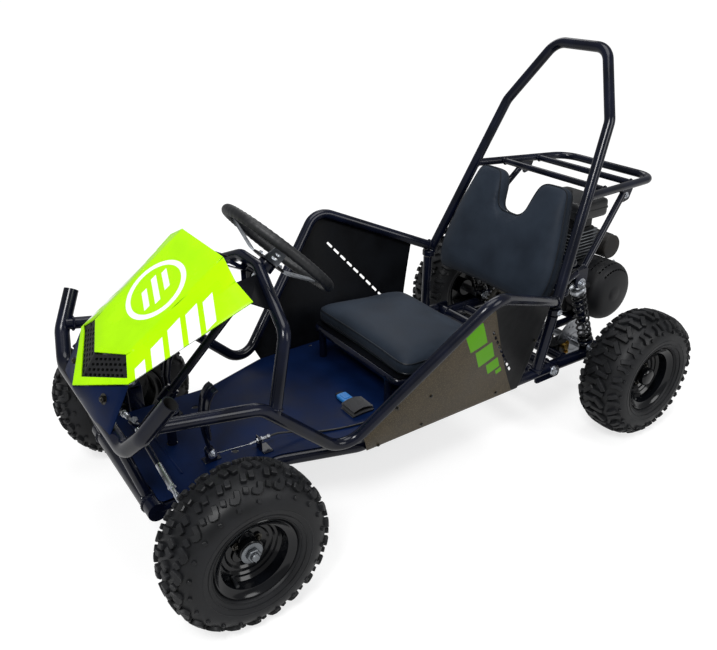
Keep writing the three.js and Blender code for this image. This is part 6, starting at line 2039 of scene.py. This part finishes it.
@dataclass
class Rear:
    """The swing arm with the axle, hub caps, sprocket, brake disc, caliper, chain and clutch."""

    half: float = 218.0
    pivot: tuple = (412.0, 182.0)
    axle: tuple = (600.0, 177.5)
    crank: tuple = (704.0, 318.0)
    plane: float = -150.0
    sprocket: float = 82.0
    pinion: float = 22.0
    link_pitch: float = 12.7
    roller: float = 4.8
    bearing: float = 15.0
    shock_foot: tuple = (566.0, 206.0)
    cross_y: float = 486.0
    rail_side: float = 92.0
    disc_side: float = 146.0
    disc_holes: tuple = (44, 53, 62)

    def arm_at(self, y: float) -> float:
        """Gives the height of the swing arm's side tubes at a place along the kart."""
        return float(np.interp(y, [self.pivot[0], self.axle[0]], [self.pivot[1], self.axle[1]]))

    def swing_arm(self) -> None:
        """Builds the swing arm: its tubes, bearing housings, shock ears, rails and engine plate."""
        shell = Shell()
        y, z = self.axle
        low = self.arm_at(self.cross_y)
        for side in Side:
            s, out, ear_wall = side.value, side.value * X, 3
            start, end = [s * self.half, *self.pivot], np.array([s * self.half, y, z])
            shell.tube([start, end], 16, 24)
            shell.turned(collar(-self.bearing, self.bearing, 13.6, 29, 2, 2), end, X, 40, closed=True)
            for turn in (45, 135, 225, 315):
                shell.bolt(about_x(end, s * self.bearing, 21.5, turn), out, 7, 1)
            shell.bead(end + [0, -29, 0.6], Y, 17, 3)
            ear = plate((553, 178), (579, 215.8), 7)
            for off in (-14.2, 11.3):
                x = self.half + off
                shell.prism(ear, [x if s > 0 else -x - ear_wall, 0, 0], X, ear_wall, 0.5, Y)
            bolt = np.array([s * self.half, *self.shock_foot])
            for way in (-1, 1):
                shell.bolt(bolt + way * 14.4 * X, way * X, 15, 1)
            shell.tube([bolt - 14 * X, bolt + 14 * X], 5, 14, slot=1)
            rail = [[self.cross_y, low], [520.5, 214.5], [776, 214.5]]
            shell.tube(rounded_path(along_x(s * self.rail_side, rail), 30, 6), 11, 20)
            shell.bead([s * self.rail_side, self.cross_y + 9, low + 10], [0, 0.7, 0.7], 11.5, 2.6)
            shell.bead([s * 203, *self.pivot], X, 19, 3).bead([s * 203, self.cross_y, low], X, 15, 3)
            boss = [[0, 0], [0, 13], [14, 13], [15, 12], [15, 0]]
            shell.turned(boss, [s * 233.5, *self.pivot], out, 28, slot=1)
        shell.tube([[-234, *self.pivot], [234, *self.pivot]], 18, 28)
        shell.tube([[-self.half, self.cross_y, low], [self.half, self.cross_y, low]], 14, 24)
        shell.prism(plate((-103, 629), (103, 776), 10), 222.5 * Z, Z, 6, 0.8, X)
        shell.steel("swing_arm_steel", "swing_arm", ZINC, body="swing")

    def axle_parts(self) -> None:
        """Builds the live axle with its collars and the two hub caps."""
        middle = np.array([0, *self.axle])
        shell = Shell().turned(collar(-395.5, 395.5, 0, 12.5, 2, 1.5), middle, X, 36)
        cap = [[30.3, 0], [30.3, 24], [31.5, 25], [42, 25], [44.5, 23.5], [47.5, 20], [49, 16], [49.6, 0]]
        for side in Side:
            out = side.value * X
            shell.turned(collar(190, 202, 12.4, 20), middle, out, 32, closed=True)
            cover = Shell().turned(cap, middle + 365.5 * out, out, 44)
            node = "hub_cap_rear_" + side.word
            cover.build("hub_cap_moulded_" + side.word, "rear_axle", "black_plastic", [RIM_ENAMEL], (node,))
        shell.build("rear_axle_shaft", "rear_axle", "bare_steel", [BARE_STEEL], ("rear_axle",))

    def sprocket_and_disc(self) -> None:
        """Builds the toothed sprocket and the drilled brake disc, each on its hub."""
        at = np.array([self.plane, *self.axle])
        shell = Shell().prism(self.toothed(self.sprocket - 1.5, 40), at - 2.5 * X, X, 5, 0.8, Y)
        shell.turned([[0, 13], [0, 27], [32, 27], [34, 25], [34, 13]], at, X, 36, closed=True)
        for turn in range(4):
            shell.bolt(about_x(at, -2.5, 21.5, 90 * turn + 20), -X, 8, 1)
        finishes = [CHAIN_STEEL, ZINC]
        piece = shell.build("axle_sprocket_teeth", "rear_axle", "bare_steel", finishes, ("axle_sprocket",))
        holes = Shell()
        for turn in range(6):
            holes.prism(circle(11, 24), about_x(at, -8, 51, 60 * turn), X, 16, 0.1)
        carve(piece, holes)
        at = np.array([self.disc_side, *self.axle])
        shell = Shell().turned(collar(-2, 2, 28, 75, 0.4, 0.4), at, X, 72, closed=True)
        hub = [[2, 13], [2, 30], [-2.2, 30], [-2.2, 27], [-32, 27], [-34, 25], [-34, 13]]
        shell.turned(hub, at, X, 36, closed=True)
        piece = shell.build("brake_disc_drilled", "rear_axle", "bare_steel", [BARE_STEEL], ("brake_disc",))
        holes = Shell()
        for turn in range(24):
            centre = about_x(at, -6, self.disc_holes[turn % len(self.disc_holes)], 15 * turn)
            holes.prism(circle(3.4, 12), centre, X, 12, 0.05)
        carve(piece, holes)

    def toothed(self, radius: float, teeth: int, depth: float = 3.2) -> Points:
        """Gives a sprocket's outline: its radius swings by a cosine at each tooth, cut flat at its ends.

        Args:
            radius: the middle radius.
            teeth: how many teeth there are.
            depth: how far the tips and roots lie off the middle radius.

        Returns:
            The points of the outline.
        """
        angle = angles(teeth * 10)
        swing = np.clip(1.5 * np.cos(teeth * angle), -1, 1)
        return (radius + depth * swing)[:, None] * heading(angle)

    def caliper(self) -> None:
        """Builds the brake caliper's two halves over the disc, with bridge, bolts and the cable arm."""
        shell = Shell()
        for low, high in ((125.8, 141.6), (150.4, 166.2)):
            shell.block([low, 501, 157], [high, 554.6, 203], 3)
        shell.block([125.8, 501, 157], [166.2, 521, 203], 3)
        shell.tube([[166, 532, 190], [178, 532, 190]], 9, 20, slot=1)
        shell.block([128, 486, 195.5], [164, 521, 203.6], 2)
        for z in (167, 193):
            shell.bolt([166.2, 546, z], X, 9, 1)
        lever = [118, 532, 180]
        shell.prism(plate((-6, -6), (6, 30), 5), lever, X, 4, 0.6, Y, 1).bolt(lever, -X, 9, 1)
        finishes = [ENGINE_BLACK, YELLOW_ZINC]
        shell.build("brake_caliper_cast", "swing", "cast_metal", finishes, ("brake_caliper",))

    def chain_line(self, radii: tuple[float, float]) -> Points:
        """Gives the chain's pitch line: two arcs round the sprockets and the tangents between them.

        Args:
            radii: the pitch radii round the axle and round the crank.

        Returns:
            The closed line, evenly spaced by the pitch.
        """
        big, small = np.array(self.axle), np.array(self.crank)
        gap = small - big
        lean, length = math.atan2(gap[1], gap[0]), float(np.hypot(*gap))
        spread = math.acos((radii[0] - radii[1]) / length)
        first = np.linspace(lean + spread, lean + 2 * math.pi - spread, 90)
        second = np.linspace(lean - spread, lean + spread, 45)
        line = np.vstack([big + radii[0] * heading(first), small + radii[1] * heading(second)])
        loop = np.vstack([line, line[:1]])
        length = walk(loop)[-1]
        links = 2 * round(length / self.link_pitch / 2)
        return along_x(self.plane, spots(loop, np.arange(links) * length / links))

    def chain(self) -> None:
        """Builds the roller chain: rollers, and waisted plates that are wide and narrow by turns."""
        line = self.chain_line((self.sprocket + self.roller, self.pinion + self.roller))
        shell = Shell()
        way_round = heading(angles(16))
        waist = 5.0 - 1.3 * way_round[:, 1] ** 4
        for number, (pin, after) in enumerate(zip(line, np.roll(line, -1, 0))):
            way, length = unit(after - pin), float(np.linalg.norm(after - pin))
            shell.turned([[-3.2, 0], [-3.2, 4], [3.2, 4], [3.2, 0]], pin, X, 10, slot=1)
            ahead = way_round[:, 0]
            plan = np.column_stack([ahead * 4.9 + np.sign(ahead) * length / 2, way_round[:, 1] * waist])
            apart = 3.1 + 1.1 * (number % 2)
            for low in (apart - 0.5, -apart - 0.5):
                shell.prism(plan, (pin + after) / 2 + low * X, X, 1.0, 0.2, way)
        shell.build("drive_chain_links", "swing", "bare_steel", [CHAIN_STEEL, BARE_STEEL], ("drive_chain",))

    def clutch(self) -> None:
        """Builds the clutch drum with its lips, slots and pinion."""
        at = np.array([self.plane, *self.crank])
        drum = [[-35, 11], [-35, 42], [-33, 45], [-31, 46], [-12, 46], [-10, 45], [-7, 42], [-5, 38],
                [-5, 11]]
        shell = Shell().turned(drum, at, X, 56, closed=True)
        shell.prism(self.toothed(self.pinion - 1.8, 12, 2.0), at - 2.5 * X, X, 5, 0.7, Y, 1)
        shell.turned([[-10, 11], [-10, 15.4], [10, 15.4], [10, 11]], at, X, 28, closed=True)
        piece = shell.build("clutch_drum", "clutch", "cast_metal", [ENGINE_BLACK, CHAIN_STEEL], ("clutch",))
        holes = Shell()
        for turn in range(6):
            holes.prism(circle(6, 16), about_x(at, -40, 31, 60 * turn), X, 12, 0.1)
        carve(piece, holes)

    def build(self) -> None:
        """Builds the rear end."""
        self.swing_arm()
        self.axle_parts()
        self.sprocket_and_disc()
        self.caliper()
        self.chain()
        self.clutch()


@dataclass
class Engine:
    """The engine: crankcase, finned cylinder, fan housing, recoil starter, tank, muffler and air cleaner."""

    crank: tuple = (704.0, 318.0)
    base: float = 228.8
    cylinder: tuple = (0.0, 695.0, 380.0)
    fins: int = 10
    fin_pitch: float = 10.2
    tank_middle: float = 696.0
    tank_base: float = 520.0
    tank_rows: tuple = ((10, 0), (4, 2), (1, 6), (0, 12), (0, 24.5), (-2.2, 25.5), (-2.2, 28.5), (0, 29.5),
                        (0, 40), (1, 46), (4, 50), (10, 52))
    tank_cap: tuple = (-33.6, 696.0, 572.0)
    starter_slots: tuple = ((134, 82, 0.0), (160, 78, 0.3), (173, 66, 0.9))
    muffler_middle: tuple = (0.0, 801.2, 411.0)
    shield: float = 37.6

    def block(self) -> None:
        """Builds the crankcase with its ribs and cover, the cylinder with its fins, and the fan housing."""
        shell = Shell().block([-78, 629, self.base], [78, 779, 378], 7)
        shell.block([-52, 643, 374], [52, 747, 482], 3)
        crank = np.array([0, *self.crank])
        for number in range(self.fins):
            low = np.array(self.cylinder) + number * self.fin_pitch * Z
            size = 124 - (number % 2) * 3
            shell.prism(rectangle(size, size, 9, 3), low, Z, 3.4, 0.6, X, 1)
        shell.block([-40, 655, 476], [40, 735, 489], 4, 1)
        for x, y in ((-30, 667), (-30, 723), (30, 667), (30, 723)):
            shell.bolt([x, y, 482], Z, 10, 2)
        for x in (-60, -30, 0, 30, 60):
            shell.block([x - 2, 627.5, 240], [x + 2, 640, 368], 1)
            shell.block([x - 2, 770, 240], [x + 2, 780.5, 368], 1)
        fan = [[74, 0], [74, 84], [78, 87.4], [96, 88], [108, 86], [112, 82], [112, 0]]
        cover = [[-88, 0], [-88, 36], [-84, 58], [-78, 62], [-70, 62], [-70, 0]]
        shell.turned(fan, crank, X, 64).turned(cover, crank, X, 48)
        for turn in range(6):
            shell.bolt(about_x(crank, -82, 55, 60 * turn + 12), -X, 9, 2)
        shell.tube([crank - 74 * X, crank - 189 * X], 9.7, 24, slot=2)
        for x, y in ((-66, 640), (66, 640), (-66, 767), (66, 767)):
            shell.bolt([x, y, 236], Z, 12, 2)
        plug = [[0, 6], [-10, 8.5], [-24, 8.5], [-30, 5], [-34, 0]]
        shell.turned([[0, 0], *plug], [0, 648, 458], [0, 1, 0.25], 24, slot=3)
        shell.block([-74, 760, 300], [-30, 782, 344], 5)
        finishes = [ENGINE_BLACK, CAST_METAL, ZINC, BLACK_MOULDED]
        shell.build("engine_block_cast", "swing", "cast_metal", finishes, ("engine_block",))

    def starter(self) -> None:
        """Builds the recoil starter: a domed cover with two rows of slots, rim bolts and the pull handle."""
        crank = np.array([0, *self.crank])
        dome = [[112.3, 0], [112.3, 88], [114, 89], [150, 89], [158, 88], [165, 85.5], [172, 81], [178, 74],
                [182, 64], [185, 48], [186.6, 28], [187, 20], [188.3, 18], [188.3, 0]]
        finishes, node, sharp = [BLACK_MOULDED, ZINC], "recoil_starter", 40
        shell = Shell().turned(dome, crank, X, 80)
        piece = shell.build("recoil_starter_dome", "swing", "black_plastic", finishes, (node,), sharp)
        slots = Shell()
        for x, radius, lean in self.starter_slots:
            for turn in np.arange(35, 130, 9.0):
                way = about_x([0, 0, 0], 0, 1, turn)
                at = crank + x * X + way * radius
                slots.prism(rectangle(9, 4.6, 2, 3), at, way + lean * X, 24, 0.1, np.cross(X, way))
        carve(piece, slots, sharp)
        details = Shell()
        for turn in (45, 135, 225, 315):
            details.bolt(about_x(crank, 120, 90.5, turn), X, 8, 1)
        grip = [[0, 0], [0, 9], [4, 11], [9, 10], [24, 9], [30, 11], [34, 9], [34, 0]]
        details.turned(grip, [150, 622, 352], [0.2, -0.85, 0.3], 24)
        details.build("recoil_starter_handle", "swing", "black_plastic", [BLACK_MOULDED, ZINC])

    def tank(self) -> None:
        """Builds the blown fuel tank with its seam and cap, and the shroud that carries it."""
        plan = rectangle(168, 132, 22, 6)
        rows = [laid(inset(plan, depth), X, Y) + [0, self.tank_middle, self.tank_base + height]
                for depth, height in self.tank_rows]
        shell = Shell().grid(np.stack(rows))
        cap = [[-4, 0], [-4, 20], [0, 21.6], [1, 21.6], [7, 21], [8, 19.6], [8, 0]]
        shell.turned(cap, self.tank_cap, Z, 40, slot=1)
        for way in heading(angles(16)):
            ridge = np.array(self.tank_cap) + 20.6 * laid(way, X, Y)
            shell.block(ridge - [1, 1, 0.4], ridge + [1, 1, 6], 0.4, 1)
        shell.block([-52, 654, 482.6], [52, 736, 523], 5, 1)
        finishes = [TANK_SKIN, BLACK_MOULDED]
        shell.build("fuel_tank_blown", "swing", "black_plastic", finishes, ("fuel_tank",), 40)

    def muffler(self) -> None:
        """Builds the muffler: a rolled can with a heat shield full of slots, its pipe and flange."""
        can = [[-85, 0], [-85, 30], [-83.5, 34.5], [-80, 37], [-76, 36], [-72, 36.5], [72, 36.5], [76, 36],
               [80, 37], [83.5, 34.5], [85, 30], [85, 0]]
        at = np.array(self.muffler_middle)
        shell = Shell().turned(can, at, X, 56)
        port = [0, 747.4, 453.2]
        shell.tube(rounded_path([port, [0, at[1], port[2]], at], 20, 6), 9, 20)
        # The outlet's bore is drawn shallow and closed, its near black finish painted shade for the pipe's
        # depth
        shell.tube([[60, 812, 404], [60, 814, 371.5]], 8, 20, bore=1, wall=1.6)
        shell.build("muffler_can", "swing", "cast_metal", [MUFFLER_PAINT, BORE_PAINTED_SHADE], ("muffler",))
        arc = heading(np.radians(np.linspace(-100, 76, 25))) * self.shield
        grid = np.stack([at + along_x(x, arc) for x in np.linspace(-66, 66, 23)])
        shield = Shell().grid(grid, around=False, caps=False)
        piece = shield.build("muffler_shield", "swing", "cast_metal", [CAST_METAL])
        solid = piece.modifiers.new("wall", "SOLIDIFY")
        solid.thickness, solid.offset = 1.2 * MM, 0.0
        settle(piece)
        slots = Shell()
        for turn in (-30, 5, 40):
            way = about_x([0, 0, 0], 0, 1, turn)
            for x in np.arange(-54, 55, 18):
                slots.prism(rectangle(12, 6, 2.8, 3), at + x * X + way * (self.shield - 0.7), way, 6, 0.05, X)
        soften(piece.data)
        carve(piece, slots)

    def air_cleaner(self) -> None:
        """Builds the air cleaner box with its lid line and knob, and the carburettor behind it."""
        shell = Shell().block([-148, 660, 403], [-92, 731, 481], 8)
        shell.block([-92.5, 662, 405], [-74, 729, 479], 6)
        shell.block([-78, 676, 420], [-62.4, 716, 464], 3, 1)
        knob = [[0, 0], [0, 10], [3, 12], [9, 12], [11, 10], [11, 0]]
        shell.turned(knob, [-148, 695.5, 442], -X, 18)
        for z in (412, 472):
            shell.bolt([-120, 660, z], -Y, 7, 1)
        finishes = [BLACK_MOULDED, CAST_METAL]
        shell.build("air_cleaner_box", "swing", "black_plastic", finishes, ("air_cleaner",))

    def build(self) -> None:
        """Builds the engine."""
        self.block()
        self.starter()
        self.tank()
        self.muffler()
        self.air_cleaner()


@dataclass
class Shock:
    """A coil-over shock: damper body, threaded collar, rod and coil spring."""

    side: Side
    across: float = 218.0
    top: tuple = (484.0, 424.0)
    foot: tuple = (566.0, 206.0)
    curls: int = 9
    wire: float = 3.0
    coil: float = 17.75

    def build(self) -> None:
        """Builds body, rod and spring along the line between the two bolts."""
        word = self.side.word
        top, foot = (sided([self.across, *end], self.side) for end in (self.top, self.foot))
        way, length = unit(foot - top), float(np.linalg.norm(foot - top))
        eye = collar(-11, 11, 6.6, 11, 1.4)
        bush = [[-11.4, 5.4], [-11.4, 6.5], [11.4, 6.5], [11.4, 5.4]]
        body = Shell().turned(eye, top, X, 32, closed=True).turned(bush, top, X, 24, closed=True, slot=1)
        cap = [[8, 8], [14, 10], [20, 12], [22, 19], [23, 21.4], [26, 22], [34, 22], [36, 21], [38, 17],
               [38, 0], [8, 0]]
        body.turned(cap, top, way, 40, slot=2)
        low = 0.62 * length
        barrel = [[36, 0], [36, 13.6], [52, 13.6], [53, 12], [low - 4, 12], [low, 10.6], [low, 5.8],
                  [low - 6, 5.8], [low - 6, 0]]
        body.turned(barrel, top, way, 36)
        for at in range(60, 96, 4):
            body.turned([[at, 11.8], [at + 1, 12.9], [at + 2, 11.8]], top, way, 32, closed=True)
        finishes, name = [FRAME_COAT, BLACK_MOULDED, ZINC], "shock_body_" + word
        body.build("shock_damper_" + word, name, "zinc_plate", finishes, (name,))
        rod = Shell().turned(eye, foot, X, 32, closed=True, slot=1)
        rod.turned(bush, foot, X, 24, closed=True, slot=2)
        seat = length - 22.9
        cup = [[0, 0], [0, 20.6], [1.2, 22], [5.2, 22], [6.4, 20.6], [9, 11], [16.1, 8.6], [16.1, 0]]
        rod.turned(np.array(cup) + [seat, 0], top, way, 36, slot=1)
        rod.turned([[0.42 * length, 0], [0.42 * length, 5], [seat + 2, 5], [seat + 2, 0]], top, way, 24)
        stop = [[-13, 0], [-13, 8.6], [-1, 10.6], [0, 10.6], [0, 0]]
        rod.turned(np.array(stop) + [seat, 0], top, way, 28, slot=2)
        finishes, name = [BARE_STEEL, FRAME_COAT, BLACK_MOULDED], "shock_rod_" + word
        rod.build("shock_rod_chrome_" + word, name, "bare_steel", finishes, (name,))
        self.spring(top, way, 38.4, seat - 0.4)

    def spring(self, top: Points, way: Points, start: float, end: float) -> None:
        """Builds the coil: a helix whose first and last curls lie close, left on no body and fixed in world
        space.

        The share of the length at a turn is 0.06 of the share of the turns and 0.94 of u, which stands still
        on the end curls, and a quarter of which is smoothed as 3 u u - 2 u u u.

        Args:
            top: the middle of the upper bolt.
            way: direction down the shock.
            start: where the coil's upper seat lies along it.
            end: where its lower seat lies.
        """
        word = self.side.word
        turns = np.linspace(0, self.curls, self.curls * 40 + 1)
        share = np.clip((turns - 0.5) / (self.curls - 1.0), 0, 1)
        step = share * share * (3 - 2 * share)
        share = 0.06 * turns / self.curls + 0.94 * (0.25 * step + 0.75 * share)
        along = start + self.wire + (end - start - 2 * self.wire) * share / share[-1]
        round_it = laid(heading(turns * 2 * math.pi), X, np.cross(way, X))
        coil = Shell().tube(top + way * along[:, None] + self.coil * round_it, self.wire, 14)
        node = "shock_spring_" + word
        piece = coil.build("shock_coil_" + word, "", "spring_paint", [SPRING_PAINT], (node,))
        ends = [packed(top + way * at).tolist() for at in (start, end)]
        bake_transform(piece)


@dataclass
class Cable:
    """A thin control cable or wire that hangs or lies free between two of the kart's pieces."""

    name: str
    route: tuple
    thick: float
    finish: Finish = CABLE_SLEEVE
    points: int = 30

    def line(self) -> Points:
        """Gives evenly spaced points along the smooth curve through the route.

        Between two points the curve is a Catmull-Rom cubic, so it passes each of them without a corner.

        Returns:
            The points of the line.
        """
        knots = np.array(self.route, float)
        knots = np.vstack([2 * knots[0] - knots[1], knots, 2 * knots[-1] - knots[-2]])
        t = np.linspace(0, 1, 20, endpoint=False)[:, None]
        runs = []
        for a, b, c, d in zip(knots, knots[1:], knots[2:], knots[3:]):
            square, cube = 2 * a - 5 * b + 4 * c - d, 3 * b - a - 3 * c + d
            runs.append(0.5 * (2 * b + (c - a) * t + square * t**2 + cube * t**3))
        dense = np.vstack([*runs, knots[-2:-1]])
        return spots(dense, np.linspace(0, walk(dense)[-1], self.points))

    def build(self) -> None:
        """Builds the cable as a round tube and works out its length."""
        line = self.line()
        shell = Shell().tube(line, self.thick / 2, 12)
        piece = shell.build(self.name, "chassis", "black_plastic", [self.finish])
        path = packed(line)
        length = float(walk(path)[-1])


def main() -> None:
    """Builds the studio and the kart, one sub-assembly after another."""
    logging.basicConfig(level=logging.INFO, format="%(message)s")
    studio = Studio()
    studio.camera()
    for cable in (
        Cable("brake_cable", ((134.6, -421, 235), (135, -395, 234), (143, -350, 224), (160, -300, 215),
                              (179, -240, 213.8), (190, -170, 213.7), (192, -80, 213.7), (188, 30, 213.7),
                              (178, 140, 213.7), (172, 195, 213.4), (170, 216, 207)), 5.0),
        Cable("stop_switch_wire", ((-17, -384, 558), (-24, -396, 532), (-52, -420, 480), (-110, -436, 424),
                                   (-180, -428, 376), (-228, -408, 340), (-250, -398, 314)), 3.0),
    ):
        cable.build()
    studio.backdrop()
    studio.light()
    chassis = Frame()
    chassis.build()
    Panels().build(chassis)
    Seat().build(chassis)
    Steering().build()
    for side in Side:
        Pedal(side).build()
        Wheel(True, side, (side.value * 355.5, -600, 177.5), "front_wheel_" + side.word).build()
        Wheel(False, side, (side.value * 365.5, 600, 177.5), "rear_axle").build()
        Shock(side).build()
    Rear().build()
    Engine().build()


if __name__ == "__main__":
    main()
